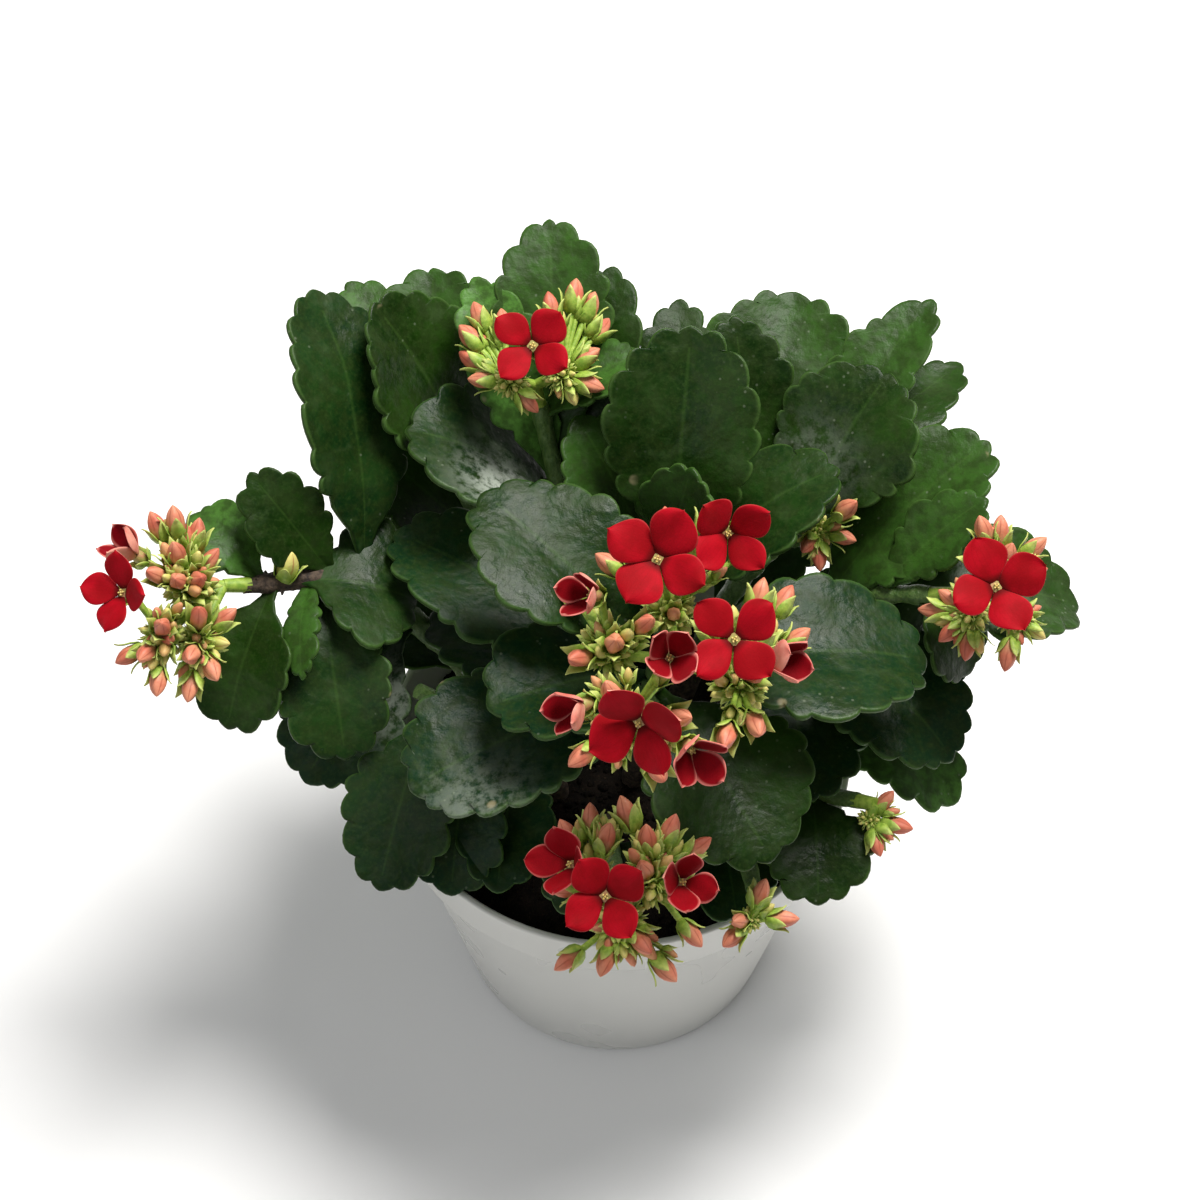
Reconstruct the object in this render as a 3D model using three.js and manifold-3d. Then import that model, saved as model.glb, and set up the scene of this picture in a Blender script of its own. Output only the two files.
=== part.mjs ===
// A potted flaming katy, Kalanchoe blossfeldiana: a plastic pot of soil, leafy stems rooted in it,
// and heads of buds and four-petalled flowers on the stems.
// Millimetres, +Z up, origin at the centre of the pot's underside. The plant's front faces -Y.
import * as THREE from "three";
import { mergeVertices } from "three/addons/utils/BufferGeometryUtils.js";
import Module from "manifold-3d";

const wasm = await Module();
wasm.setup();

// Pot and soil.
const POT_SIDES = 24;
const POT_HEIGHT = 78;
const RIM_RADIUS = 53;
const RIM_ROUND = 0.8;
const COLLAR_HEIGHT = 12;
const COLLAR_STEP = 2.2;
const COLLAR_FLARE = 0.6;
const COLLAR_BEVEL = 1;
const BASE_RADIUS = 38;
const BASE_ROUND = 1.2;
const WALL = 1.6;
const FLOOR_TOP = 4.2;
const RECESS_INNER = 24;
const RECESS_OUTER = 32.5;
const RECESS_HEIGHT = 2.5;
const RECESS_SLOPE = 1;
const DRAIN_COUNT = 6;
const DRAIN_RADIUS = 2.4;
const DRAIN_SIDES = 8;
const DRILL_LENGTH = 20;
const SOIL_TOP = 69;
const SOIL_EDGE = 66.5;
const SOIL_RELIEF = 1.5;
const SOIL_LUMP = 5;
const SOIL_RINGS = [38, 20];
const HOLE_SIDES = 6;

// Leaves. A leaf is thick and fleshy, with round lobes along its edge.
const LEAF_THICK = 1.5;
const LOBE_LENGTH = 10.8;
const LOBE_DEPTH = 1.9;
const PLAIN_SHARE = 0.16;
const NOTCH_DEPTH = 0.55;
const LOBE_SWELL = 0.45;
const LOBE_SHOULDERS = [0.24, 0.76];
const TIP_SHOULDER = 0.26;
const PETIOLE_SHARE = 0.17;
const PETIOLE_HALF = 1.9;
const ROOT_HALF = 1.2;
const WIDEST_AT = 0.52;
const FOOT_FULLNESS = 0.75;
const TIP_FULLNESS = 0.52;
const RIB_END = 0.93;
const RIB_SHORT = 0.5;
const KEEL = 0.16;
const WAVE = 1.1;
const WAVE_LENGTH = 6;
const ARCH = 0.1;

// Stems.
const STEM_RADIUS = 3.1;
const STEM_TIP_RADIUS = 1.7;
const STEM_SIDES = 4;
const ROOT_DEPTH = 14;

// Flower heads. A closed bud stands in a green calyx on a short stalk.
const KNOT_RADIUS = 2.2;
const CORE_SINK = 0.6;
const BRANCH_RADIUS = 1.3;
const BRANCH_SIDES = 4;
const BUD_LENGTH = 11;
const BUD_SHARE = 0.82;
const BUD_BELLY = 0.55;
const BUD_RADIUS = 2;
const BUD_SIDES = 4;
const CALYX_RADIUS = 1.8;
const STALK_RADIUS = 0.5;

// Flowers of four petals on a short tube.
const PETAL_THICK = 0.8;
const PETAL_OUTLINE = [[0.45, 0.4], [0.86, 0.34]];
const PETAL_CURL = 0.12;
const PETAL_ROOM = 0.94;
const PETAL_ROOM_CLEARED = 0.985;
const PETAL_START = 1.05;
const NOTCH_SHARE = 0.12;
const TUBE_RADIUS = 1.5;
const TUBE_LENGTH = 3.4;

// Pieces that touch keep this gap. A flower stands a little further off its calyx.
const GAP = 0.3;
const CALYX_GAP = 0.42;

// Each stem: the way it grows, and its leaves as [share of the way up, tip, width, roll in degrees].
const STEMS = {
  left: {
    way: [[-22, 6], [-40, 12, 100], [-58, 13, 120], [-79, 5, 129]],
    leaves: [
      [0.69, [-65, 57, 164], 31, 38],
      [0.87, [-46, 8, 118], 29, 0],
      [0.92, [-83, -17, 108], 24, 0],
      [0.8, [-58, -22, 104], 24, 0],
      [0.95, [-91, 19, 135], 18, 0],
      [0.76, [-77, 21, 146], 17, -30],
      [0.82, [-66, -14, 122], 8, 20],
      [0.5, [-68, -18, 89], 30, 0],
      [0.25, [-68, 30, 92], 30, 0],
    ],
  },
  back: {
    way: [[-3, 20], [-8, 28, 100], [-14, 36, 130], [-17, 41, 146]],
    leaves: [
      [0.74, [-15, 76, 166], 25, 0],
      [0.6, [-1, 70, 158], 22, 0],
      [0.72, [-31, 63, 162], 18, -15],
      [0.96, [5, 48, 154], 16, 0],
      [0.64, [-45, 33, 146], 33, 0],
      [0.3, [-8, 80, 104], 32, 0],
    ],
  },
  centre: {
    way: [[4, -4], [6, -8, 100], [8, -18, 130], [10, -26, 143]],
    leaves: [
      [0.82, [-28, 9, 152], 32, 0],
      [0.72, [-26, -30, 134], 30, 0],
      [0.56, [-42, -38, 116], 36, 0],
      [0.77, [63, -14, 126], 32, 0],
      [0.64, [30, -51, 110], 35, 0],
      [0.38, [-41, 14, 107], 31, 0],
      [0.48, [-44, 21, 124], 28, 0],
    ],
  },
  middle: {
    way: [[6, 8], [10, 12, 100], [12, 14, 124], [13, 14, 130]],
    leaves: [
      [0.84, [15, 44, 166], 33, 0],
      [0.97, [15, 17, 152], 19, 0],
      [0.76, [46, 24, 144], 28, 0],
      [0.46, [14, 72, 146], 22, 0],
      [0.62, [-9, 37, 146], 26, 0],
    ],
  },
  right: {
    way: [[20, 4], [36, 12, 100], [52, 10, 118], [66, 4, 127]],
    leaves: [
      [0.6, [79, 33, 142], 30, 0],
      [0.84, [77, 17, 142], 16, 0],
      [0.86, [99, 8, 118], 28, 0],
      [0.96, [75, -6, 113], 20, 0],
      [0.78, [63, 3, 110], 20, 0],
      [0.38, [75, -19, 83], 26, 0],
      [0.56, [71, -21, 102], 32, 0],
      [0.42, [41, -30, 100], 30, 0],
      [0.22, [74, 32, 90], 30, 0],
    ],
  },
  back_right: {
    way: [[14, 16], [26, 26, 100], [36, 26, 118], [41, 21, 126]],
    leaves: [
      [0.55, [40, 76, 145], 41, 0],
      [0.76, [69, 66, 152], 18, 0],
      [0.92, [58, 45, 151], 33, 0],
      [0.84, [77, 64, 134], 18, 0],
      [0.66, [25, 59, 154], 23, 0],
      [0.3, [48, 68, 98], 32, 0],
    ],
  },
  back_left: {
    way: [[-16, 18], [-28, 34, 98], [-37, 46, 118], [-41, 52, 130]],
    leaves: [
      [0.8, [-52, 54, 163], 33, 0],
      [0.44, [-62, 49, 129], 28, 0],
      [0.98, [-41, 75, 153], 26, 0],
      [0.88, [-60, 74, 150], 18, 0],
      [0.25, [-54, 72, 98], 32, 0],
    ],
  },
  front: {
    way: [[-2, -18], [-2, -36, 90], [-1, -50, 104], [0, -58, 110]],
    leaves: [
      [0.3, [-12, -50, 88], 17, 0],
      [0.45, [15, -46, 92], 18, 0],
    ],
  },
  front_right: {
    way: [[14, -12], [24, -26, 86], [27, -42, 94], [28, -50, 97]],
    leaves: [[0.34, [25, -50, 84], 21, 0]],
  },
  side_right: {
    way: [[24, -6], [38, -18, 88], [47, -26, 95], [51, -29, 98]],
    leaves: [[0.7, [42, -48, 88], 24, 0]],
  },
  front_left: {
    way: [[-14, -8], [-28, -8, 90], [-38, -8, 104], [-43, -8, 109]],
    leaves: [
      [0.88, [-51, -42, 84], 24, 0],
      [0.3, [-26, -42, 83], 21, 0],
      [0.64, [-36, -41, 80], 22, 0],
    ],
  },
};

// Each head, on the stem of its own name: the radius of its green cores, their centres, the tips of
// its buds, and its flowers as [centre, facing, turn and rise of the petals in degrees, reach].
const HEADS = {
  left: {
    core: 4.2,
    hubs: [[-90, 1, 133], [-94, -10, 131], [-87, -10, 129]],
    buds: [
      [-97, 11, 146], [-92, 11, 148], [-87, 11, 144], [-91, 2, 147], [-83, 6, 140], [-96, -4, 145],
      [-90, -6, 145], [-85, -4, 143], [-85, -11, 142], [-79, -5, 134], [-80, -12, 131],
      [-92, -15, 142], [-103, -17, 131], [-97, -20, 136], [-87, -20, 136], [-82, -20, 129],
      [-94, -24, 129], [-88, -24, 127],
    ],
    blooms: [
      [[-101, -8, 143], [-0.45, -0.5, 0.75], 20, 24, 8.5],
      [[-100, 3, 142], [-0.7, 0.1, 0.7], 10, 68, 7.5],
    ],
  },
  back: {
    core: 3.6,
    hubs: [[-12, 41, 155], [-23, 39, 155]],
    buds: [
      [-9, 59, 166], [-5, 58, 163], [-2, 55, 158], [-15, 54, 167], [-31, 56, 162], [-25, 53, 163],
      [-34, 51, 160], [-34, 46, 157], [-32, 39, 156], [-17, 33, 152], [-4, 46, 158], [-3, 37, 155],
      [-9, 35, 152],
    ],
    blooms: [[[-18, 39, 166], [-0.05, -0.6, 0.8], 35, 12, 9]],
  },
  centre: {
    core: 5,
    hubs: [[10, -15, 146], [23, -33, 146], [1, -42, 146], [-2, -25, 145]],
    buds: [
      [9, 3, 157], [19, 3, 157], [-5, -6, 153], [-11, -11, 151], [14, -5, 160], [28, -16, 158],
      [34, -14, 153], [15, -27, 161], [6, -29, 162], [-1, -32, 159], [-10, -33, 154],
      [-3, -41, 158], [13, -50, 159], [19, -54, 155], [26, -50, 153], [37, -24, 152],
      [29, -25, 157], [-10, -53, 147], [8, -59, 151],
    ],
    blooms: [
      [[7, -18, 166], [-0.1, -0.55, 0.8], 28, 14, 10.5],
      [[21, -10, 164], [0.15, -0.75, 0.6], 40, 26, 9],
      [[21, -38, 167], [0.1, -0.6, 0.8], 50, 10, 9.5],
      [[3, -53, 161], [-0.25, -0.85, 0.45], 35, 26, 10],
      [[-6, -22, 160], [-0.6, -0.45, 0.65], 15, 66, 7.8],
      [[9, -40, 164], [0.05, -0.5, 0.85], 40, 60, 8.5],
      [[29, -37, 159], [0.75, -0.4, 0.5], 20, 66, 8],
      [[-8, -44, 154], [-0.7, -0.6, 0.4], 20, 70, 7.5],
      [[13, -57, 158], [0.3, -0.85, 0.4], 30, 58, 8],
    ],
  },
  right: {
    core: 3.6,
    hubs: [[79, 3, 134], [73, -5, 132], [82, -6, 132]],
    buds: [
      [74, 9, 147], [79, 11, 145], [71, 3, 144], [81, 5, 143], [89, 9, 140], [89, 3, 137],
      [66, -1, 135], [62, -3, 131], [66, -10, 129], [71, -15, 129], [79, -17, 128], [88, -10, 130],
    ],
    blooms: [[[76, -8, 145], [0, -0.5, 0.85], 42, 14, 10]],
  },
  front: {
    core: 4.8,
    hubs: [[-5, -60, 115], [6, -60, 116], [0, -66, 112]],
    buds: [
      [-6, -48, 127], [0, -47, 128], [-12, -50, 124], [-2, -54, 129], [5, -53, 127], [4, -62, 127],
      [11, -50, 126], [18, -53, 122], [-14, -62, 117], [-13, -76, 110], [-4, -78, 111],
      [6, -75, 115], [16, -72, 112], [11, -78, 109],
    ],
    blooms: [
      [[-3, -70, 128], [-0.05, -0.65, 0.75], 45, 16, 9],
      [[-10, -61, 125], [-0.5, -0.35, 0.75], 40, 46, 8.5],
      [[12, -65, 125], [0.2, -0.5, 0.8], 55, 52, 8],
    ],
  },
  back_right: {
    core: 2.8,
    hubs: [[43, 20, 129]],
    buds: [[40, 26, 138], [50, 18, 141], [36, 22, 132], [51, 17, 129], [39, 13, 130], [43, 11, 126]],
    blooms: [],
  },
  front_right: {
    core: 2.4,
    hubs: [[27, -56, 95]],
    buds: [[37, -57, 97], [23, -60, 101], [21, -63, 96], [30, -51, 103]],
    blooms: [],
  },
  side_right: {
    core: 2.2,
    hubs: [[53, -33, 97]],
    buds: [[62, -36, 98], [58, -29, 102], [55, -41, 95]],
    blooms: [],
  },
};

// A closed solid from points and triangles.
function solidFrom(points, triangles) {
  return new wasm.Manifold(
    new wasm.Mesh({
      numProp: 3,
      vertProperties: new Float32Array(points.flatMap((p) => [p.x, p.y, p.z])),
      triVerts: new Uint32Array(triangles.flat()),
    }),
  );
}

// A closed solid from a three.js geometry.
function solidOf(geometry) {
  const loose = geometry.index ? geometry.toNonIndexed() : geometry;
  const bare = new THREE.BufferGeometry()
    .setAttribute("position", loose.getAttribute("position"));
  const merged = mergeVertices(bare, 1e-3);
  return new wasm.Manifold(
    new wasm.Mesh({
      numProp: 3,
      vertProperties: merged.attributes.position.array,
      triVerts: new Uint32Array(merged.index.array),
    }),
  );
}

// The largest body of a solid: a loose scrap left by a cut is dropped.
function largest(solid) {
  return solid.decompose().reduce((a, b) => (b.volume() > a.volume() ? b : a));
}

function meshOf(name, solid, material) {
  const found = solid.getMesh();
  const geometry = new THREE.BufferGeometry();
  geometry.setAttribute("position", new THREE.BufferAttribute(found.vertProperties, 3));
  geometry.setIndex(new THREE.BufferAttribute(found.triVerts, 1));
  geometry.computeVertexNormals();
  const mesh = new THREE.Mesh(geometry, material);
  mesh.name = name;
  return mesh;
}

// A tube along points, with a radius at each, closed at both ends.
function tube(points, radii, sides) {
  const curve = new THREE.CatmullRomCurve3(points);
  const steps = points.length - 1;
  const rings = [];
  const across = new THREE.Vector3(1, 0, 0);
  for (let i = 0; i <= steps; i++) {
    const along = curve.getTangent(i / steps);
    across.addScaledVector(along, -across.dot(along)).normalize();
    const over = new THREE.Vector3().crossVectors(along, across);
    for (let k = 0; k < sides; k++) {
      const turn = (2 * Math.PI * k) / sides;
      rings.push(
        points[i]
          .clone()
          .addScaledVector(across, radii[i] * Math.cos(turn))
          .addScaledVector(over, radii[i] * Math.sin(turn)),
      );
    }
  }
  return stackedRings(rings, sides);
}

// Rings of points, one above the other, closed by a fan at each end. The last may be one point.
function stackedRings(points, sides) {
  const triangles = [];
  const rings = Math.floor(points.length / sides);
  for (let r = 0; r < rings - 1; r++) {
    for (let k = 0; k < sides; k++) {
      const a = r * sides + k;
      const b = r * sides + ((k + 1) % sides);
      triangles.push([a, b, b + sides], [a, b + sides, a + sides]);
    }
  }
  const top = (rings - 1) * sides;
  const tip = points.length - 1;
  for (let k = 1; k < sides - 1; k++) triangles.push([0, k + 1, k]);
  if (points.length % sides === 1) {
    for (let k = 0; k < sides; k++) triangles.push([tip, top + k, top + ((k + 1) % sides)]);
  } else {
    for (let k = 1; k < sides - 1; k++) triangles.push([top, top + k, top + k + 1]);
  }
  return solidFrom(points, triangles);
}

// The half width of a leaf at a share of its blade, 1 at its widest.
function leafWidth(share) {
  const power = Math.log(0.5) / Math.log(WIDEST_AT);
  const wave = Math.sin(Math.PI * Math.min(share, 1) ** power);
  return Math.max(wave, 0) ** (share < WIDEST_AT ? FOOT_FULLNESS : TIP_FULLNESS);
}

// The plain half outline of a blade, from petiole to tip, as points with their outward normals.
function halfOutline(length, width) {
  const fine = 60;
  const petiole = PETIOLE_SHARE * length;
  const points = [];
  for (let i = 0; i <= fine; i++) {
    const share = (1 - Math.cos((Math.PI * i) / fine)) / 2;
    const stalk = PETIOLE_HALF * (1 - share);
    const half = stalk + (width / 2 - stalk) * leafWidth(share);
    points.push(new THREE.Vector2(petiole + (length - petiole) * share, half));
  }
  const reach = [0];
  for (let i = 1; i <= fine; i++) reach.push(reach[i - 1] + points[i].distanceTo(points[i - 1]));
  return { points, reach, total: reach[fine] };
}

// A point on the half outline at a distance along it, moved outward.
function outlinePoint(outline, distance, outward) {
  const { points, reach } = outline;
  let i = 1;
  while (i < points.length - 1 && reach[i] < distance) i++;
  const part = (distance - reach[i - 1]) / (reach[i] - reach[i - 1]);
  const along = points[i].clone().sub(points[i - 1]).normalize();
  return points[i - 1]
    .clone()
    .lerp(points[i], part)
    .add(new THREE.Vector2(-along.y, along.x).multiplyScalar(outward));
}

// A leaf from its place on the stem to its tip.
function leaf(root, tip, width, roll) {
  const chord = tip.clone().sub(root);
  const length = chord.length();
  const forward = chord.clone().normalize();
  const up = new THREE.Vector3(0, 0, 1);
  const normal = up.addScaledVector(forward, -up.dot(forward)).normalize();
  normal.applyAxisAngle(forward, THREE.MathUtils.degToRad(roll));
  const side = new THREE.Vector3().crossVectors(normal, forward);
  const middle = new THREE.QuadraticBezierCurve3(
    root,
    root.clone().lerp(tip, 0.5).addScaledVector(normal, 2 * ARCH * length),
    tip,
  );
  const phase = root.x + tip.y;

  // A point of the blade, from its place along and across the leaf and its face, 1 or -1.
  const bladePoint = (x, y, face) => {
    const share = Math.min(x / length, 1);
    const along = middle.getTangent(share);
    const out = new THREE.Vector3().crossVectors(along, side);
    const wave = WAVE * Math.sin(phase + x / WAVE_LENGTH + Math.sign(y));
    const lift = KEEL * Math.abs(y) + wave * ((2 * y) / width) ** 2;
    return middle
      .getPoint(share)
      .addScaledVector(side, y)
      .addScaledVector(out, lift + (face * LEAF_THICK) / 2)
      .addScaledVector(along, Math.max(x - length, 0));
  };

  const outline = halfOutline(length, width);
  const plain = PLAIN_SHARE * outline.total;
  const lobes = Math.max(3, Math.round((outline.total - plain) / LOBE_LENGTH - 0.5));
  const lobe = (outline.total - plain) / (lobes + 0.5);
  const depth = Math.min(LOBE_DEPTH, LOBE_SHOULDERS[0] * lobe);

  // The middle line ends short of where the last shoulder would hide the last notch from it.
  const lastNotch = outlinePoint(outline, plain + lobes * lobe, -NOTCH_DEPTH * depth);
  const lastPart = plain + (lobes - 1 + LOBE_SHOULDERS[1]) * lobe;
  const lastShoulder = outlinePoint(outline, lastPart, LOBE_SWELL * depth);
  const slant = (lastShoulder.x - lastNotch.x) / (lastShoulder.y - lastNotch.y);
  const ribEnd = Math.min(RIB_END * length, lastNotch.x - slant * lastNotch.y - RIB_SHORT);

  // Points of one half, from root to tip: the edge, and the middle line that it is joined to.
  const edge = [[0, ROOT_HALF], [PETIOLE_SHARE * length, PETIOLE_HALF]];
  const rib = [[PETIOLE_SHARE * length, 0]];
  for (let i = 0; i <= lobes; i++) {
    const start = plain + i * lobe;
    const notch = outlinePoint(outline, start, -NOTCH_DEPTH * depth);
    edge.push([notch.x, notch.y]);
    if (i > 0) rib.push([Math.min(notch.x, ribEnd), 0]);
    const shoulders = i < lobes ? LOBE_SHOULDERS : [TIP_SHOULDER];
    for (const part of shoulders) {
      const point = outlinePoint(outline, start + part * lobe, LOBE_SWELL * depth);
      edge.push([point.x, point.y]);
    }
  }

  // Both faces are split into triangles alike: left edge, middle line, right edge.
  const sheet = [];
  const left = edge.map((_, i) => i);
  const right = edge.map((_, i) => edge.length + i);
  const line = rib.map((_, i) => 2 * edge.length + i);
  for (const [hand, flip] of [[left, false], [right, true]]) {
    const add = (a, b, c) => sheet.push(flip ? [a, c, b] : [a, b, c]);
    add(line[0], hand[2], hand[1]);
    for (let i = 0; i < lobes; i++) {
      const at = 2 + 3 * i;
      add(line[i], line[i + 1], hand[at]);
      add(line[i + 1], hand[at + 1], hand[at]);
      add(line[i + 1], hand[at + 2], hand[at + 1]);
      add(line[i + 1], hand[at + 3], hand[at + 2]);
    }
    const last = 2 + 3 * lobes;
    add(line[lobes], hand[last + 1], hand[last]);
  }
  sheet.push([left[0], right[0], right[1]], [left[0], right[1], left[1]]);
  sheet.push([left[1], right[1], line[0]]);
  sheet.push([line[lobes], right[edge.length - 1], left[edge.length - 1]]);

  const rim = [...left, ...[...right].reverse()];
  const marks = [...edge, ...edge.map(([x, y]) => [x, -y]), ...rib];
  const points = [1, -1].flatMap((face) => marks.map(([x, y]) => bladePoint(x, y, face)));
  const count = marks.length;
  const triangles = [];
  for (const [a, b, c] of sheet) {
    triangles.push([a, b, c], [a + count, c + count, b + count]);
  }
  rim.forEach((a, i) => {
    const b = rim[(i + 1) % rim.length];
    triangles.push([a, b, b + count], [a, b + count, a + count]);
  });
  return solidFrom(points, triangles);
}

// The line that a stem grows along, from just above the soil to its tip.
function stemRoute([[x, y], ...rest]) {
  const ground = new THREE.Vector3(x, y, SOIL_TOP + SOIL_RELIEF);
  return new THREE.CatmullRomCurve3([ground, ...rest.map((p) => new THREE.Vector3(...p))]);
}

function bareStem(route) {
  const foot = route.points[0].clone().setZ(SOIL_TOP - ROOT_DEPTH);
  const radii = route.points.map((_, i) =>
    THREE.MathUtils.lerp(STEM_RADIUS, STEM_TIP_RADIUS, i / (route.points.length - 1)),
  );
  return tube([foot, ...route.points], [STEM_RADIUS, ...radii], STEM_SIDES);
}

// A stem with its leaves, rooted in the soil.
function leafyStem({ way, leaves }) {
  const route = stemRoute(way);
  const blades = leaves.map(([share, tip, width, roll]) =>
    leaf(route.getPointAt(share), new THREE.Vector3(...tip), width, roll),
  );
  return largest(blades.reduce((whole, blade) => whole.add(blade), bareStem(route)));
}

// A straight bar between two points, with a radius and a number of sides.
function bar(from, to, fromRadius, toRadius, sides) {
  return ringStack(from, to, [[0, fromRadius], [1, toRadius]], sides);
}

// Rings round the line between two points, as [share of the way, radius]. A radius of 0 is a point.
function ringStack(from, to, profile, sides) {
  const along = to.clone().sub(from).normalize();
  const lean = Math.abs(along.z) > 0.9 ? new THREE.Vector3(1, 0, 0) : new THREE.Vector3(0, 0, 1);
  const across = new THREE.Vector3().crossVectors(lean, along).normalize();
  const over = new THREE.Vector3().crossVectors(along, across);
  const points = [];
  for (const [share, radius] of profile) {
    const centre = from.clone().lerp(to, share);
    if (radius === 0) {
      points.push(centre);
      continue;
    }
    for (let k = 0; k < sides; k++) {
      const turn = (2 * Math.PI * k) / sides;
      points.push(
        centre
          .clone()
          .addScaledVector(across, radius * Math.cos(turn))
          .addScaledVector(over, radius * Math.sin(turn)),
      );
    }
  }
  return stackedRings(points, sides);
}

// A closed bud in its calyx, four-sided, from inside its core to a point at its tip.
function bud(hub, tip, core) {
  const along = tip.clone().sub(hub).normalize();
  const foot = hub.clone().addScaledVector(along, CORE_SINK * core);
  const reach = tip.distanceTo(foot);
  const length = Math.min(BUD_LENGTH, BUD_SHARE * reach);
  const belly = 1 - (BUD_BELLY * length) / reach;
  return ringStack(foot, tip, [[0, STALK_RADIUS], [belly, BUD_RADIUS], [1, 0]], BUD_SIDES);
}

// A flower's own frame: it faces outward, and its petals turn about that line.
function flowerFrame([centre, facing, turn]) {
  const out = new THREE.Vector3(...facing).normalize();
  const side = new THREE.Vector3().crossVectors(new THREE.Vector3(0, 0, 1), out).normalize();
  const over = new THREE.Vector3().crossVectors(out, side);
  const matrix = new THREE.Matrix4().makeBasis(side, over, out);
  matrix.multiply(new THREE.Matrix4().makeRotationZ(THREE.MathUtils.degToRad(turn)));
  return matrix.setPosition(...centre);
}

// A flower of four petals on its tube. The same shape, grown by a margin, clears room for it.
function flower(plan, margin) {
  const [, , , rise, reach] = plan;
  const frame = flowerFrame(plan);
  const tilt = THREE.MathUtils.degToRad(rise);
  const half = PETAL_THICK / 2 + margin;
  const length = reach - PETAL_START + margin;
  const room = margin > 0 ? PETAL_ROOM_CLEARED : PETAL_ROOM;

  // A point of one petal, from its place along and across the petal and its face, 1 or -1.
  const petalPoint = (petal, x, y, face) => {
    const out = PETAL_START + x * Math.cos(tilt) - face * half * Math.sin(tilt);
    const widest = room * out;
    const across = THREE.MathUtils.clamp(y, -widest, widest);
    const place = new THREE.Vector3(
      out,
      across,
      x * Math.sin(tilt) + face * half * Math.cos(tilt) + PETAL_CURL * Math.abs(across),
    );
    return place.applyAxisAngle(new THREE.Vector3(0, 0, 1), (petal * Math.PI) / 2);
  };
  const between = PETAL_START + NOTCH_SHARE * length * Math.cos(tilt);
  const notch = (petal, face) =>
    new THREE.Vector3(between, -between, NOTCH_SHARE * length * Math.sin(tilt) + face * half)
      .applyAxisAngle(new THREE.Vector3(0, 0, 1), (petal * Math.PI) / 2);

  const rightSide = PETAL_OUTLINE.map(([x, y]) => [x * length, -y * reach - margin]);
  const leftSide = PETAL_OUTLINE.map(([x, y]) => [x * length, y * reach + margin]).reverse();
  const blade = [...rightSide, [length, 0], ...leftSide];
  const rim = [0, 1, 2, 3].flatMap((petal) => [
    (face) => notch(petal, face),
    ...blade.map(([x, y]) => (face) => petalPoint(petal, x, y, face)),
  ]);
  const neck = [-half, -TUBE_LENGTH - margin].flatMap((height) =>
    [0, 1, 2, 3].map((corner) => {
      const turn = ((corner - 0.5) * Math.PI) / 2;
      const radius = TUBE_RADIUS + margin;
      return new THREE.Vector3(radius * Math.cos(turn), radius * Math.sin(turn), height);
    }),
  );
  const points = [
    ...rim.map((place) => place(1)),
    ...rim.map((place) => place(-1)),
    ...neck,
    new THREE.Vector3(0, 0, half),
  ];
  const count = rim.length;
  const ring = 2 * count;
  const middle = points.length - 1;
  const step = blade.length + 1;
  const tip = step / 2;
  const triangles = [];
  for (let petal = 0; petal < 4; petal++) {
    const near = ring + petal;
    const far = ring + ((petal + 1) % 4);
    for (let i = 0; i < step; i++) {
      const a = petal * step + i;
      const b = (a + 1) % count;
      const corner = i < tip ? near : far;
      triangles.push([middle, a, b], [corner, b + count, a + count]);
      triangles.push([a, a + count, b + count], [a, b + count, b]);
    }
    triangles.push([near, far, petal * step + Math.floor(tip) + count]);
    triangles.push([near, near + 4, far + 4], [near, far + 4, far]);
  }
  triangles.push([ring + 4, ring + 6, ring + 5], [ring + 4, ring + 7, ring + 6]);
  return solidFrom(points.map((point) => point.applyMatrix4(frame)), triangles);
}

// The stalk of a flower widens into a calyx, whose flat top lies just below the flower's tube.
function flowerStalk(plan, nearest, core) {
  const frame = flowerFrame(plan);
  const top = new THREE.Vector3(0, 0, -TUBE_LENGTH - CALYX_GAP).applyMatrix4(frame);
  const hub = nearest(top);
  const start = hub.clone().lerp(top, (CORE_SINK * core) / hub.distanceTo(top));
  const side = new THREE.Vector3();
  const over = new THREE.Vector3();
  frame.extractBasis(side, over, new THREE.Vector3());
  const points = [[start, STALK_RADIUS], [top, CALYX_RADIUS]].flatMap(([centre, radius]) =>
    [[1, 0], [0, 1], [-1, 0], [0, -1]].map(([a, b]) =>
      centre.clone().addScaledVector(side, a * radius).addScaledVector(over, b * radius),
    ),
  );
  return stackedRings(points, 4);
}

// A flower head on its stem: branches, buds, and the stalks that the flowers stand on.
function flowerHead({ core, hubs, buds, blooms }, route) {
  const places = hubs.map((p) => new THREE.Vector3(...p));
  const nearest = (point) => places.reduce((a, b) => (point.distanceTo(b) < point.distanceTo(a) ? b : a));
  const heading = route.getTangent(1);
  const foot = route.getPoint(1).addScaledVector(heading, GAP);
  const fork = foot.clone().addScaledVector(heading, 2 * KNOT_RADIUS);
  const branches = [bar(foot, fork, STEM_TIP_RADIUS, BRANCH_RADIUS, STEM_SIDES)];
  for (const hub of places) {
    const ball = new THREE.IcosahedronGeometry(core).translate(hub.x, hub.y, hub.z);
    branches.push(bar(fork, hub, BRANCH_RADIUS, BRANCH_RADIUS, BRANCH_SIDES), solidOf(ball));
  }
  const knot = new THREE.OctahedronGeometry(KNOT_RADIUS).translate(fork.x, fork.y, fork.z);
  branches.push(solidOf(knot));
  for (const plan of blooms) {
    branches.push(flowerStalk(plan, nearest, core));
  }
  const tips = buds.map((p) => new THREE.Vector3(...p));
  const closed = tips.map((tip) => bud(nearest(tip), tip, core));
  let solid = [...branches, ...closed].reduce((a, b) => a.add(b));
  for (const plan of blooms) solid = solid.subtract(flower(plan, GAP));
  return largest(solid);
}

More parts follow.
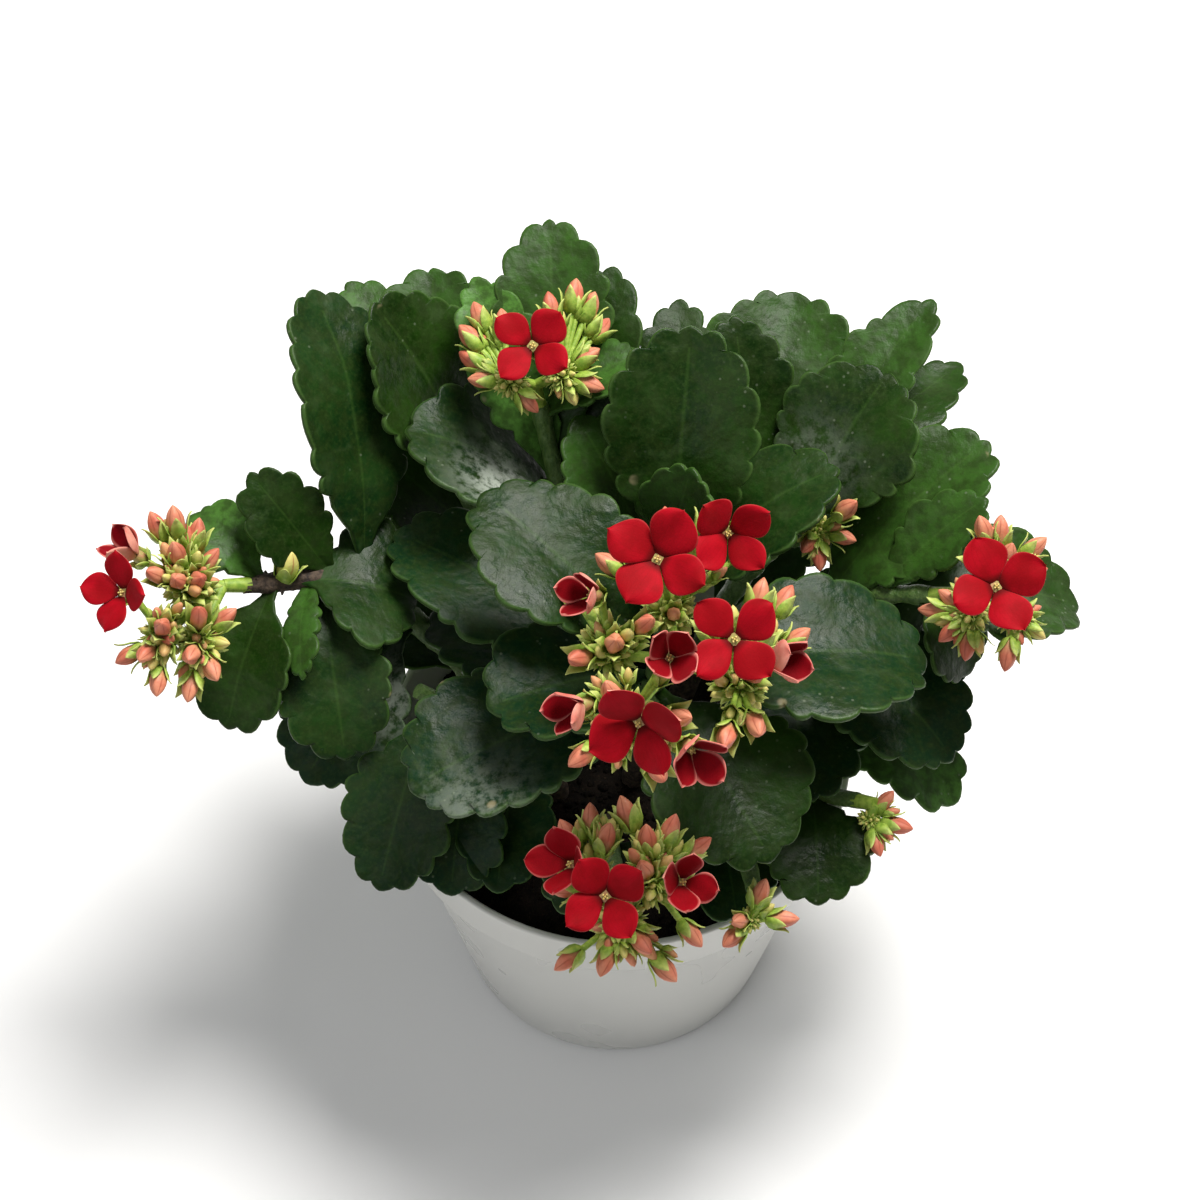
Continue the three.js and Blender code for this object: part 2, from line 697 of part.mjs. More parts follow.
// The pot's outline from the middle of its underside, up the outside and down the inside.
function potOutline() {
  const collarFoot = POT_HEIGHT - COLLAR_HEIGHT;
  const collarRadius = RIM_RADIUS - COLLAR_FLARE;
  const neck = collarRadius - COLLAR_STEP;
  return [
    [0, 0],
    [RECESS_INNER, 0],
    [RECESS_INNER + RECESS_SLOPE, RECESS_HEIGHT],
    [RECESS_OUTER - RECESS_SLOPE, RECESS_HEIGHT],
    [RECESS_OUTER, 0],
    [BASE_RADIUS - BASE_ROUND, 0],
    [BASE_RADIUS, BASE_ROUND],
    [neck, collarFoot - COLLAR_BEVEL],
    [collarRadius, collarFoot],
    [RIM_RADIUS, POT_HEIGHT - RIM_ROUND],
    [RIM_RADIUS - RIM_ROUND, POT_HEIGHT],
    [RIM_RADIUS - WALL, POT_HEIGHT],
    [BASE_RADIUS - WALL, FLOOR_TOP],
    [0, FLOOR_TOP],
  ];
}

// A shape turned about the upright axis from its outline of [radius, height].
function turned(outline) {
  const points = outline.map(([radius, height]) => new THREE.Vector2(radius, height));
  return new THREE.LatheGeometry(points, POT_SIDES).rotateX(Math.PI / 2);
}

function potSolid() {
  const ring = (RECESS_INNER + RECESS_OUTER) / 2;
  let solid = solidOf(turned(potOutline()));
  for (let i = 0; i < DRAIN_COUNT; i++) {
    const turn = (2 * Math.PI * i) / DRAIN_COUNT;
    const drill = new THREE.CylinderGeometry(DRAIN_RADIUS, DRAIN_RADIUS, DRILL_LENGTH, DRAIN_SIDES)
      .rotateX(Math.PI / 2)
      .translate(ring * Math.cos(turn), ring * Math.sin(turn), 0);
    solid = solid.subtract(solidOf(drill));
  }
  return solid;
}

// The soil fills the pot up to its collar. Its top is lumpy, with a plain hole for each stem.
function soilSolid(routes) {
  const bottom = FLOOR_TOP + GAP;
  const lean = (RIM_RADIUS - BASE_RADIUS) / (POT_HEIGHT - FLOOR_TOP);
  const side = (height) => BASE_RADIUS - WALL + lean * (height - FLOOR_TOP) - 2 * GAP;
  const outline = [
    [0, bottom],
    [side(bottom), bottom],
    [side(SOIL_EDGE), SOIL_EDGE],
    ...SOIL_RINGS.map((radius) => [radius, SOIL_TOP]),
    [0, SOIL_TOP],
  ];
  const geometry = turned(outline);
  const place = geometry.getAttribute("position");
  for (let i = 0; i < place.count; i++) {
    if (place.getZ(i) < SOIL_EDGE + GAP) continue;
    const [x, y] = [place.getX(i), place.getY(i)];
    place.setZ(i, SOIL_TOP + SOIL_RELIEF * Math.sin(x / SOIL_LUMP + 1) * Math.cos(y / SOIL_LUMP));
  }
  let solid = solidOf(geometry);
  const radius = (STEM_RADIUS + GAP) / Math.cos(Math.PI / HOLE_SIDES);
  for (const route of routes) {
    const low = route.points[0].clone().setZ(SOIL_TOP - ROOT_DEPTH - GAP);
    const high = low.clone().setZ(SOIL_TOP + ROOT_DEPTH);
    solid = solid.subtract(bar(low, high, radius, radius, HOLE_SIDES));
  }
  return solid;
}

const plastic = new THREE.MeshStandardMaterial({ color: 0xe4e4e0, roughness: 0.4 });
const earth = new THREE.MeshStandardMaterial({ color: 0x2e2219, roughness: 0.95 });
const leafGreen = new THREE.MeshStandardMaterial({ color: 0x2d5226, roughness: 0.45 });
const budGreen = new THREE.MeshStandardMaterial({ color: 0xc08a5c, roughness: 0.55 });
const petalRed = new THREE.MeshStandardMaterial({ color: 0xb00f1c, roughness: 0.6 });

const group = new THREE.Group();
group.add(meshOf("pot", potSolid(), plastic));

for (const [name, plan] of Object.entries(STEMS)) {
  group.add(meshOf(`stem_${name}`, leafyStem(plan), leafGreen));
}
group.add(meshOf("soil", soilSolid(Object.values(STEMS).map(({ way }) => stemRoute(way))), earth));

for (const [name, plan] of Object.entries(HEADS)) {
  const route = stemRoute(STEMS[name].way);
  group.add(meshOf(`head_${name}`, flowerHead(plan, route), budGreen));
  plan.blooms.forEach((bloom, i) => {
    group.add(meshOf(`flower_${name}_${i + 1}`, flower(bloom, 0), petalRed));
  });
}

export default group;
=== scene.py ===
# %% [markdown]
# # A potted flaming katy
# The real object is a small bushy succulent in a round plastic pot: thick scalloped leaves on
# green and woody stems, and heads of small four-petalled flowers among many closed buds.
# Plain solids of every piece come with the frame. This lesson dresses them: it grows finer
# leaves, buds and petals from the same listed places, and gives each its own finish.
# The frame is loaded first.

# %% Load the frame
import math

import bpy
import numpy as np
from mathutils import Matrix, Vector, noise


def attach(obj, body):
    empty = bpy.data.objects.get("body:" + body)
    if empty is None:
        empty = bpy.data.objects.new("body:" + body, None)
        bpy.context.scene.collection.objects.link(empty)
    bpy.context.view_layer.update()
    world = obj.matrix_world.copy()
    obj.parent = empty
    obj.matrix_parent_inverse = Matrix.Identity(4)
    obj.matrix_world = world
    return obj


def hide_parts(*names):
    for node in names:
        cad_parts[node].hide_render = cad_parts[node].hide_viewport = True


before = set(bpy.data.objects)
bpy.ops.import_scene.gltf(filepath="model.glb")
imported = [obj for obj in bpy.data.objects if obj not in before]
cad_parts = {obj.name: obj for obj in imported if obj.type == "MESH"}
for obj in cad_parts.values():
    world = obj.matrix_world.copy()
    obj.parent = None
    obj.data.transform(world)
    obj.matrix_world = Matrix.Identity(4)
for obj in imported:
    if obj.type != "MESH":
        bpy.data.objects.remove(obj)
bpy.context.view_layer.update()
MM = 0.001
print("nodes in the frame:", len(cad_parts))

# %% [markdown]
# ## Camera
# The photograph looks down on the plant at about 52 degrees from half a metre away. A camera
# could be placed by eye, but here its distance and lens were worked out from how fast the
# leaves shrink with depth, so it is set by a position, a target and a focal length.

# %% Camera
CAMERA_PLACE = Vector((-0.004, -0.2875, 0.4982))
CAMERA_TARGET = Vector((-0.004, 0.008, 0.120))


def link_object(name, data):
    """A new object at the origin, linked into the scene."""
    obj = bpy.data.objects.new(name, data)
    bpy.context.scene.collection.objects.link(obj)
    return obj


def aim(obj, place, target):
    """Puts a camera or a light at a place, looking at the target."""
    obj.location = place
    obj.rotation_euler = (Vector(target) - Vector(place)).to_track_quat("-Z", "Y").to_euler()


camera_data = bpy.data.cameras.new("camera")
camera_data.sensor_width = 36
camera_data.lens = 67
camera_data.clip_start = 0.01
camera = link_object("camera", camera_data)
aim(camera, CAMERA_PLACE, CAMERA_TARGET)
bpy.context.scene.camera = camera
print("camera to target:", round((CAMERA_TARGET - CAMERA_PLACE).length, 3), "m")

# %% [markdown]
# ## Where everything grows
# Each stem is a smooth line through a few points, and each leaf is four facts: how far up the
# stem it joins, where its tip is, how wide it is, and how much it is rolled about its length.
# A last number says how pale it is: below zero is dark and bluish, above zero fresh and yellow.
# It is partly the leaf's own colour and partly painted light and shade: a lit leaf is given a
# paler number, and a shaded one a darker number.
# Writing places down like this keeps the plant editable, where a scan or a random tree isn't.

# %% Stems and leaves, in millimetres
STEMS = {
    "left": {
        "way": [(-22, 6), (-40, 12, 100), (-58, 13, 120), (-79, 5, 129)],
        "leaves": [
            (0.69, (-65, 57, 164), 31, 38, -0.45),
            (0.87, (-44, 9, 118), 32, 0, -0.2),
            (0.92, (-83, -17, 108), 24, 0, 0.35),
            (0.8, (-58, -22, 104), 24, 0, -0.1),
            (0.95, (-91, 19, 135), 18, 0, 0.5),
            (0.76, (-77, 21, 146), 17, -30, -0.1),
            (0.82, (-66, -14, 122), 8, 20, 0.45),
            (0.5, (-68, -18, 89), 30, 0, -0.3),
            (0.25, (-68, 30, 92), 30, 0, 0.0),
        ],
    },
    "back": {
        "way": [(-3, 20), (-8, 28, 100), (-14, 36, 130), (-17, 41, 146)],
        "leaves": [
            (0.74, (-15, 76, 166), 25, 0, 0.3),
            (0.6, (-1, 70, 158), 22, 0, 0.0),
            (0.72, (-31, 63, 162), 18, -15, 0.7),
            (0.96, (5, 48, 154), 16, 0, 0.4),
            (0.64, (-45, 33, 146), 33, 0, -0.4),
            (0.3, (-8, 80, 104), 32, 0, 0.0),
        ],
    },
    "centre": {
        "way": [(4, -4), (6, -8, 100), (8, -18, 130), (10, -26, 143)],
        "leaves": [
            (0.82, (-28, 9, 152), 32, 0, -0.4),
            (0.72, (-26, -30, 134), 30, 0, -0.8),
            (0.56, (-42, -38, 116), 36, 0, -0.9),
            (0.77, (63, -13, 126), 36, 0, -0.6),
            (0.64, (30, -51, 110), 35, 0, 0.1),
            (0.38, (-41, 14, 107), 31, 0, -0.5),
            (0.48, (-48, 22, 125), 32, 0, -0.6),
        ],
    },
    "middle": {
        "way": [(6, 8), (10, 12, 100), (12, 14, 124), (13, 14, 130)],
        "leaves": [
            (0.84, (15, 44, 166), 33, 0, -0.2),
            (0.97, (15, 17, 152), 19, 0, 0.2),
            (0.76, (46, 24, 144), 28, 0, -0.3),
            (0.46, (14, 72, 146), 22, 0, 0.0),
            (0.62, (-9, 37, 146), 26, 0, 0.2),
        ],
    },
    "right": {
        "way": [(20, 4), (36, 12, 100), (52, 10, 118), (66, 4, 127)],
        "leaves": [
            (0.6, (79, 33, 142), 30, 0, 0.32),
            (0.84, (77, 17, 142), 16, 0, 0.3),
            (0.86, (99, 8, 118), 28, 0, 0.35),
            (0.96, (75, -6, 113), 20, 0, 0.1),
            (0.78, (63, 3, 110), 20, 0, -0.1),
            (0.38, (75, -19, 83), 26, 0, 1.0),
            (0.56, (71, -21, 102), 32, 0, -0.5),
            (0.42, (41, -30, 100), 30, 0, -0.4),
            (0.22, (74, 32, 90), 30, 0, 0.0),
        ],
    },
    "back_right": {
        "way": [(14, 16), (26, 26, 100), (36, 26, 118), (41, 21, 126)],
        "leaves": [
            (0.55, (40, 76, 145), 41, 0, 0.25),
            (0.76, (69, 66, 152), 18, 0, 0.3),
            (0.92, (58, 45, 151), 33, 0, -0.1),
            (0.84, (77, 64, 134), 18, 0, 0.2),
            (0.66, (25, 59, 154), 23, 0, -0.1),
            (0.3, (48, 68, 98), 32, 0, 0.0),
        ],
    },
    "back_left": {
        "way": [(-16, 18), (-28, 34, 98), (-37, 46, 118), (-41, 52, 130)],
        "leaves": [
            (0.8, (-52, 54, 163), 33, 0, 0.0),
            (0.44, (-62, 49, 129), 28, 0, 0.0),
            (0.98, (-41, 75, 153), 26, 0, 0.3),
            (0.88, (-60, 74, 150), 18, 0, 0.4),
            (0.25, (-54, 72, 98), 32, 0, 0.0),
        ],
    },
    "front": {
        "way": [(-2, -18), (-2, -36, 90), (-1, -50, 104), (0, -58, 110)],
        "leaves": [
            (0.3, (-12, -50, 88), 17, 0, -0.4),
            (0.45, (15, -46, 92), 18, 0, -0.3),
        ],
    },
    "front_right": {
        "way": [(14, -12), (24, -26, 86), (27, -42, 94), (28, -50, 97)],
        "leaves": [(0.34, (25, -50, 84), 21, 0, -0.2)],
    },
    "side_right": {
        "way": [(24, -6), (38, -18, 88), (47, -26, 95), (51, -29, 98)],
        "leaves": [(0.7, (42, -48, 88), 24, 0, 0.45)],
    },
    "front_left": {
        "way": [(-14, -8), (-28, -8, 90), (-38, -8, 104), (-43, -8, 109)],
        "leaves": [
            (0.88, (-51, -42, 84), 24, 0, 0.0),
            (0.3, (-26, -42, 83), 21, 0, -0.3),
            (0.64, (-36, -41, 80), 22, 0, -0.3),
        ],
    },
}
# Some leaves carry a painted highlight, a pale patch that stands for light reflected off their wax: how
# strong it is, and where along and across the leaf.
SHEEN_PATCHES = {
    ("back", 4): (1.2, 0.5, 0.28),
    ("left", 7): (0.7, 0.45, 0.2),
    ("centre", 2): (0.35, 0.85, 0.3),
    ("right", 2): (0.45, 0.5, -0.2),
    ("back_right", 2): (0.3, 0.4, 0.1),
}
print("stems:", len(STEMS), "leaves:", sum(len(stem["leaves"]) for stem in STEMS.values()))

# %% [markdown]
# Each head grows on the stem of its own name. It has hubs, where its stalks fork, the tips of its
# buds, and its blooms. A bloom is five facts: its centre, the way it faces, its turn about that
# line and the rise of its petals in degrees, and the reach of its petals.

# %% Flower heads, in millimetres
HEADS = {
    "left": {
        "hubs": [(-90, 1, 133), (-94, -10, 131), (-87, -10, 129)],
        "buds": [
            (-97, 11, 146), (-92, 11, 148), (-87, 11, 144), (-91, 2, 147), (-83, 6, 140),
            (-96, -4, 145), (-90, -6, 145), (-85, -4, 143), (-85, -11, 142), (-79, -5, 134),
            (-80, -12, 131), (-92, -15, 142), (-103, -17, 131), (-97, -20, 136),
            (-87, -20, 136), (-82, -20, 129), (-94, -24, 129), (-88, -24, 127),
        ],
        "blooms": [
            ((-101, -8, 143), (-0.45, -0.5, 0.75), 20, 24, 8.5),
            ((-100, 3, 142), (-0.7, 0.1, 0.7), 10, 68, 7.5),
        ],
    },
    "back": {
        "hubs": [(-12, 41, 155), (-23, 39, 155)],
        "buds": [
            (-9, 59, 166), (-5, 58, 163), (-2, 55, 158), (-15, 54, 167), (-31, 56, 162),
            (-25, 53, 163), (-34, 51, 160), (-34, 46, 157), (-32, 39, 156), (-17, 33, 152),
            (-4, 46, 158), (-3, 37, 155), (-9, 35, 152),
        ],
        "blooms": [((-18, 39, 166), (-0.05, -0.6, 0.8), 52, 12, 9)],
    },
    "centre": {
        "hubs": [(10, -15, 146), (23, -33, 146), (1, -42, 146), (-2, -25, 145)],
        "buds": [
            (9, 3, 157), (19, 3, 157), (-5, -6, 153), (-11, -11, 151), (14, -5, 160),
            (28, -16, 158), (34, -14, 153), (15, -27, 161), (6, -29, 162), (-1, -32, 159),
            (-10, -33, 154), (-3, -41, 158), (13, -50, 159), (19, -54, 155), (26, -50, 153),
            (37, -24, 152), (29, -25, 157), (-10, -53, 147), (8, -59, 151),
        ],
        "blooms": [
            ((7, -18, 166), (-0.1, -0.55, 0.8), 60, 14, 10.5),
            ((21, -10, 164), (0.15, -0.75, 0.6), 27, 26, 9),
            ((21, -38, 167), (0.1, -0.6, 0.8), 28, 10, 9.5),
            ((3, -53, 161), (-0.25, -0.85, 0.45), 35, 26, 10),
            ((-6, -22, 160), (-0.6, -0.45, 0.65), 15, 66, 7.8),
            ((9, -40, 164), (0.05, -0.5, 0.85), 40, 60, 8.5),
            ((29, -37, 159), (0.75, -0.4, 0.5), 20, 66, 8),
            ((-8, -44, 154), (-0.7, -0.6, 0.4), 20, 70, 7.5),
            ((13, -57, 158), (0.3, -0.85, 0.4), 30, 58, 8),
        ],
    },
    "right": {
        "hubs": [(79, 3, 134), (73, -5, 132), (82, -6, 132)],
        "buds": [
            (74, 9, 147), (79, 11, 145), (71, 3, 144), (81, 5, 143), (89, 9, 140), (89, 3, 137),
            (66, -1, 135), (62, -3, 131), (66, -10, 129), (71, -15, 129), (79, -17, 128),
            (88, -10, 130),
        ],
        "blooms": [((76, -8, 145), (0, -0.5, 0.85), 20, 14, 10)],
    },
    "front": {
        "hubs": [(-5, -60, 115), (6, -60, 116), (0, -66, 112)],
        "buds": [
            (-6, -48, 127), (0, -47, 128), (-12, -50, 124), (-2, -54, 129), (5, -53, 127),
            (4, -62, 127), (11, -50, 126), (18, -53, 122), (-14, -62, 117), (-13, -76, 110),
            (-4, -78, 111), (6, -75, 115), (16, -72, 112), (11, -78, 109),
        ],
        "blooms": [
            ((-3, -70, 128), (-0.05, -0.65, 0.75), 33, 16, 9),
            ((-10, -61, 125), (-0.5, -0.35, 0.75), 40, 46, 8.5),
            ((12, -65, 125), (0.2, -0.5, 0.8), 55, 52, 8),
        ],
    },
    "back_right": {
        "hubs": [(43, 20, 129)],
        "buds": [
            (40, 26, 138), (50, 18, 141), (36, 22, 132), (51, 17, 129), (39, 13, 130), (43, 11, 126),
        ],
        "blooms": [],
    },
    "front_right": {
        "hubs": [(27, -56, 95)],
        "buds": [(37, -57, 97), (23, -60, 101), (21, -63, 96), (30, -51, 103)],
        "blooms": [],
    },
    "side_right": {
        "hubs": [(53, -33, 97)],
        "buds": [(62, -36, 98), (58, -29, 102), (55, -41, 95)],
        "blooms": [],
    },
}
print("buds:", sum(len(head["buds"]) for head in HEADS.values()))

# %% [markdown]
# ## Helpers for meshes
# Every piece below starts as lists of points and faces. Two points that fall on the same place
# are welded, so a leaf's two faces close into one skin along its edge. A face that loses a
# corner by this becomes a triangle, and one that loses two disappears. Numbers that a finish
# needs later, such as how near the edge a point is, are kept on the points as attributes.

# %% Mesh helpers
WELD = 1e-7


def weld(points, faces, values):
    """Joins points on the same place, and drops faces that collapse."""
    keys = np.round(points / WELD).astype(np.int64)
    _, first, where = np.unique(keys, axis=0, return_index=True, return_inverse=True)
    where = where.ravel()
    kept = []
    for face in faces:
        ring = []
        for corner in face:
            index = int(where[corner])
            if not ring or ring[-1] != index:
                ring.append(index)
        if len(ring) > 1 and ring[0] == ring[-1]:
            ring.pop()
        if len(set(ring)) == len(ring) and len(ring) > 2:
            kept.append(ring)
    return points[first], kept, {name: row[first] for name, row in values.items()}


def grid_faces(rows, columns, wrap=False, rows_first=False, flip=False):
    """Quads between rows of points. A grid that wraps joins each row's end to its start."""
    faces = []
    for r in range(rows - 1):
        for k in range(columns if wrap else columns - 1):
            a, b = r * columns + k, r * columns + (k + 1) % columns
            quad = [a, a + columns, b + columns, b] if rows_first else [a, b, b + columns, a + columns]
            faces.append(quad[::-1] if flip else quad)
    return faces


def set_numbers(mesh, values, kind="FLOAT"):
    """Keeps rows of numbers, or of vectors, on a mesh's points under their names."""
    field = "value" if kind == "FLOAT" else "vector"
    for name, row in values.items():
        row = np.ravel(row).astype(np.float32)
        mesh.attributes.new(name, kind, "POINT").data.foreach_set(field, row)


def mesh_object(name, points, faces, values, material):
    """A smooth-shaded object at the origin, with its numbers kept as point attributes."""
    mesh = bpy.data.meshes.new(name)
    mesh.from_pydata([tuple(p) for p in points], [], faces)
    set_numbers(mesh, values)
    mesh.polygons.foreach_set("use_smooth", [True] * len(mesh.polygons))
    mesh.materials.append(material)
    mesh.update()
    return link_object(name, mesh)


def joined(parts):
    """Several (points, faces, values) as one, with the faces renumbered."""
    points, faces, start = [], [], 0
    for part_points, part_faces, _ in parts:
        points.append(part_points)
        faces += [[corner + start for corner in face] for face in part_faces]
        start += len(part_points)
    values = {key: np.concatenate([part[2][key] for part in parts]) for key in parts[0][2]}
    return np.concatenate(points), faces, values


def welded(parts):
    """Parts in millimetres as one welded shape in metres."""
    points, faces, values = joined(parts)
    return weld(points * MM, faces, values)


def unit(vector):
    vector = np.asarray(vector, float)
    return vector / np.linalg.norm(vector)


print("mesh helpers ready")

# %% [markdown]
# ## Helpers for finishes
# A finish is a small graph of nodes. These helpers add a node, set its inputs and link them in
# one line, so that each recipe further down reads as a list of what the surface shows. A node
# that is given where a value is wanted stands for its first output.

# %% Finish helpers
# A Mix node has a set of sockets for each kind of value. These are the ones for colours.
MIX_A, MIX_B, MIX_RESULT = 6, 7, 2


def put(tree, socket, value):
    """Links a socket to an output or a node, or sets it to a plain value."""
    if isinstance(value, bpy.types.Node):
        value = value.outputs[0]
    if isinstance(value, bpy.types.NodeSocket):
        tree.links.new(value, socket)
    else:
        socket.default_value = value


def add_node(tree, kind, inputs=(), **settings):
    """A node with its settings, and its inputs filled by name or number."""
    node = tree.nodes.new(kind)
    for name, value in settings.items():
        setattr(node, name, value)
    for key, value in dict(inputs).items():
        put(tree, node.inputs[key], value)
    return node


class Finish:
    """A node material that is written line by line."""

    def __init__(self, name):
        self.material = bpy.data.materials.new(name)
        self.material.use_nodes = True
        self.tree = self.material.node_tree
        self.tree.nodes.clear()
        self.shader = self.add("ShaderNodeBsdfPrincipled")
        self.add("ShaderNodeOutputMaterial", {"Surface": self.shader})
        self.place = self.add("ShaderNodeTexCoord").outputs["Object"]

    def add(self, kind, inputs=(), **settings):
        return add_node(self.tree, kind, inputs, **settings)

    def attribute(self, name):
        return self.add("ShaderNodeAttribute", attribute_name=name).outputs["Fac"]

    def maths(self, kind, *values):
        """A Math node, such as ADD or SINE."""
        return self.add("ShaderNodeMath", enumerate(values), operation=kind)

    def times(self, first, second):
        return self.maths("MULTIPLY", first, second)

    def between(self, value, low, high, out_low=0.0, out_high=1.0):
        """A value moved from one range to another, smoothly and clamped."""
        values = enumerate((value, low, high, out_low, out_high))
        return self.add("ShaderNodeMapRange", values, interpolation_type="SMOOTHSTEP")

    def noise(self, scale, detail=3.0, place=None, roughness=0.55, distortion=0.0):
        return self.add("ShaderNodeTexNoise", {
            "Vector": place or self.place, "Scale": scale, "Detail": detail,
            "Roughness": roughness, "Distortion": distortion})

    def cells(self, scale):
        return self.add("ShaderNodeTexVoronoi", {"Vector": self.place, "Scale": scale})

    def stretched(self, scale):
        """Object coordinates scaled unevenly, for streaks."""
        return self.add("ShaderNodeMapping", {"Vector": self.place, "Scale": scale})

    def mix(self, factor, first, second):
        colours = {"Factor": factor, MIX_A: first, MIX_B: second}
        return self.add("ShaderNodeMix", colours, data_type="RGBA").outputs[MIX_RESULT]

    def spread(self, field, low, high, first, second):
        """One colour where a field is low, the other where it is high."""
        return self.mix(self.between(field, low, high), first, second)

    def bump(self, height, strength, distance, under=None):
        normal = {} if under is None else {"Normal": under}
        return self.add("ShaderNodeBump", {
            "Height": height, "Strength": strength, "Distance": distance, **normal})

    def shade(self, colour, roughness, normal=None, **plain):
        """The material. Its plain values go straight on the shader's own sockets."""
        wanted = {"base_color": colour, "roughness": roughness, **plain}
        if normal is not None:
            wanted["normal"] = normal
        for socket in self.shader.inputs:
            name = socket.name.lower().replace(" ", "_")
            if name in wanted:
                put(self.tree, socket, wanted[name])
        return self.material


def rgb(red, green, bluish_and_shaded):
    return (red, green, bluish_and_shaded, 1.0)


print("finish helpers ready")

# %% [markdown]
# ## Leaf finish
# The real leaves are waxy: dark green above, with greyer patches where the wax is thick, a fine
# pale line along the margin and a faint middle vein, and pale green below. Light and shade are
# painted on too: a pale highlight on a few leaves, and darker, bluer leaves low down. Painting
# each leaf would be slow. The numbers that the leaf mesh carries drive one shared recipe instead.

# %% Leaf finish
def leaf_finish():
    f = Finish("waxy leaf")
    across, along = f.attribute("across"), f.attribute("along")
    tone, under, patch = f.attribute("tone"), f.attribute("under"), f.attribute("patch")
    wide = f.noise(70.0, 4.0, distortion=0.4)
    middle = f.noise(330.0, 4.0)
    fine = f.noise(2200.0, 2.0)
    deep = f.spread(wide, 0.35, 0.65, rgb(0.0035, 0.016, 0.0006), rgb(0.013, 0.041, 0.003))
    # Painted light and shade: a higher number paints a leaf fresher and paler, a lower one darker and
    # bluer, and low leaves get lower numbers for the shade under the leaves above.
    fresh_and_lit = f.spread(tone, 0.0, 1.0, deep, rgb(0.085, 0.22, 0.035))
    bluish_and_shaded = f.spread(tone, 0.0, -1.0, fresh_and_lit, rgb(0.003, 0.022, 0.007))
    wax = f.between(f.noise(120.0, 5.0, distortion=0.8), 0.5, 0.72)
    waxed = f.mix(f.times(wax, 0.4), bluish_and_shaded, rgb(0.04, 0.068, 0.022))
    mottled = f.mix(f.between(middle, 0.38, 0.64, 0.0, 0.65), waxed, rgb(0.014, 0.027, 0.005))
    speck = f.between(f.noise(1100.0, 4.0, roughness=0.7), 0.45, 0.7, 0.0, 0.45)
    mottled = f.mix(speck, mottled, rgb(0.025, 0.052, 0.01))
    vein = f.between(across, 0.05, 0.0)
    slant = f.times(f.maths("SUBTRACT", along, f.times(across, 0.28)), 44.0)
    ribs = f.between(f.maths("SINE", slant), 0.85, 1.0)
    ribs = f.times(ribs, f.between(across, 1.0, 0.5))
    veins = f.times(f.maths("MAXIMUM", vein, f.times(ribs, 0.14)), 0.15)
    veined = f.mix(veins, mottled, rgb(0.065, 0.14, 0.025))
    margin = f.between(across, 0.93, 0.99)
    rimmed = f.mix(f.times(margin, 0.35), veined, rgb(0.08, 0.16, 0.035))
    dots = f.between(f.cells(420.0), 0.16, 0.08)
    dots = f.times(dots, f.between(f.noise(45.0, 2.0), 0.5, 0.62))
    speckled = f.mix(f.times(dots, 0.35), rimmed, rgb(0.17, 0.2, 0.14))
    scar = f.times(f.between(f.cells(70.0), 0.1, 0.05), f.between(across, 0.6, 0.85))
    scarred = f.mix(f.times(scar, 0.7), speckled, rgb(0.27, 0.23, 0.13))
    # Painted highlight: a pale patch on a few leaves, standing for light reflected off the wax.
    painted_sheen = f.times(patch, f.between(f.noise(300.0, 5.0, roughness=0.7), 0.36, 0.6))
    sheened = f.mix(f.times(painted_sheen, 0.85), scarred, rgb(0.38, 0.42, 0.36))
    pale = f.spread(middle, 0.3, 0.7, rgb(0.05, 0.1, 0.03), rgb(0.08, 0.13, 0.045))
    colour = f.mix(under, sheened, pale)
    rough = f.maths("ADD", f.between(wide, 0.3, 0.7, 0.3, 0.44), f.times(wax, 0.12))
    rough = f.maths("ADD", rough, f.times(under, 0.15))
    soft = f.bump(f.noise(210.0, 2.0), 0.4, 0.0014)
    grain = f.bump(fine, 0.35, 0.00016, soft)
    relief = f.bump(ribs, 0.06, 0.0003, grain)
    return f.shade(colour, rough, relief, subsurface_weight=0.03, specular_ior_level=0.11,
                   subsurface_radius=(0.6, 1.0, 0.3), subsurface_scale=0.0008)


LEAF = leaf_finish()
print("leaf finish has", len(LEAF.node_tree.nodes), "nodes")

# %% [markdown]
# ## How a leaf is shaped
# A flaming katy's leaf starts as a narrow stalk, widens into an oval blade and has a row of round
# lobes along its outer two thirds. It is thick, keeled along the middle, arched along its length
# and a little wavy. One way is to sculpt one leaf and copy it, but no two real leaves are alike.
# So one function works the outline out from length and width, and walks round it lobe by lobe.

# %% Leaf outline
PETIOLE_SHARE = 0.17
PETIOLE_HALF = 1.9
PETIOLE_STEPS = 3
ROOT_HALF = 1.2
WIDEST_AT = 0.52
FOOT_FULLNESS = 0.75
TIP_FULLNESS = 0.52
PLAIN_SHARE = 0.2
PLAIN_STEPS = 4
LOBE_LENGTH = 6.6
LOBE_JITTER = 0.28
LOBE_DEPTH = 1.95
TIP_DEPTH = 1.4
LOBE_STEPS = (0.0, 0.07, 0.2, 0.38, 0.56, 0.73, 0.87, 0.96)
TIP_STEPS = (0.0, 0.07, 0.2, 0.38, 0.5)
LOBE_LEAN = 1.35
SWELL = 0.05
OUTLINE_STEPS = 400
SLOPE_STEP = 0.3


def lengths(points):
    """How far along a line of points each one is."""
    return np.concatenate([[0], np.cumsum(np.linalg.norm(np.diff(points, axis=0), axis=1))])


def blade_half(share):
    """The half width of a blade at a share of its length, 1 at its widest."""
    power = math.log(0.5) / math.log(WIDEST_AT)
    wave = np.maximum(np.sin(np.pi * np.clip(share, 0, 1) ** power), 0)
    return wave ** np.where(share < WIDEST_AT, FOOT_FULLNESS, TIP_FULLNESS)


def leaf_lobes(length, width, dice):
    """How many lobes fit along half of a leaf's edge. Some leaves have broader ones than others."""
    span = LOBE_LENGTH * dice.uniform(0.92, 1.3)
    return max(4, round((1 - PLAIN_SHARE) * math.hypot(length, width) / span - 0.5))


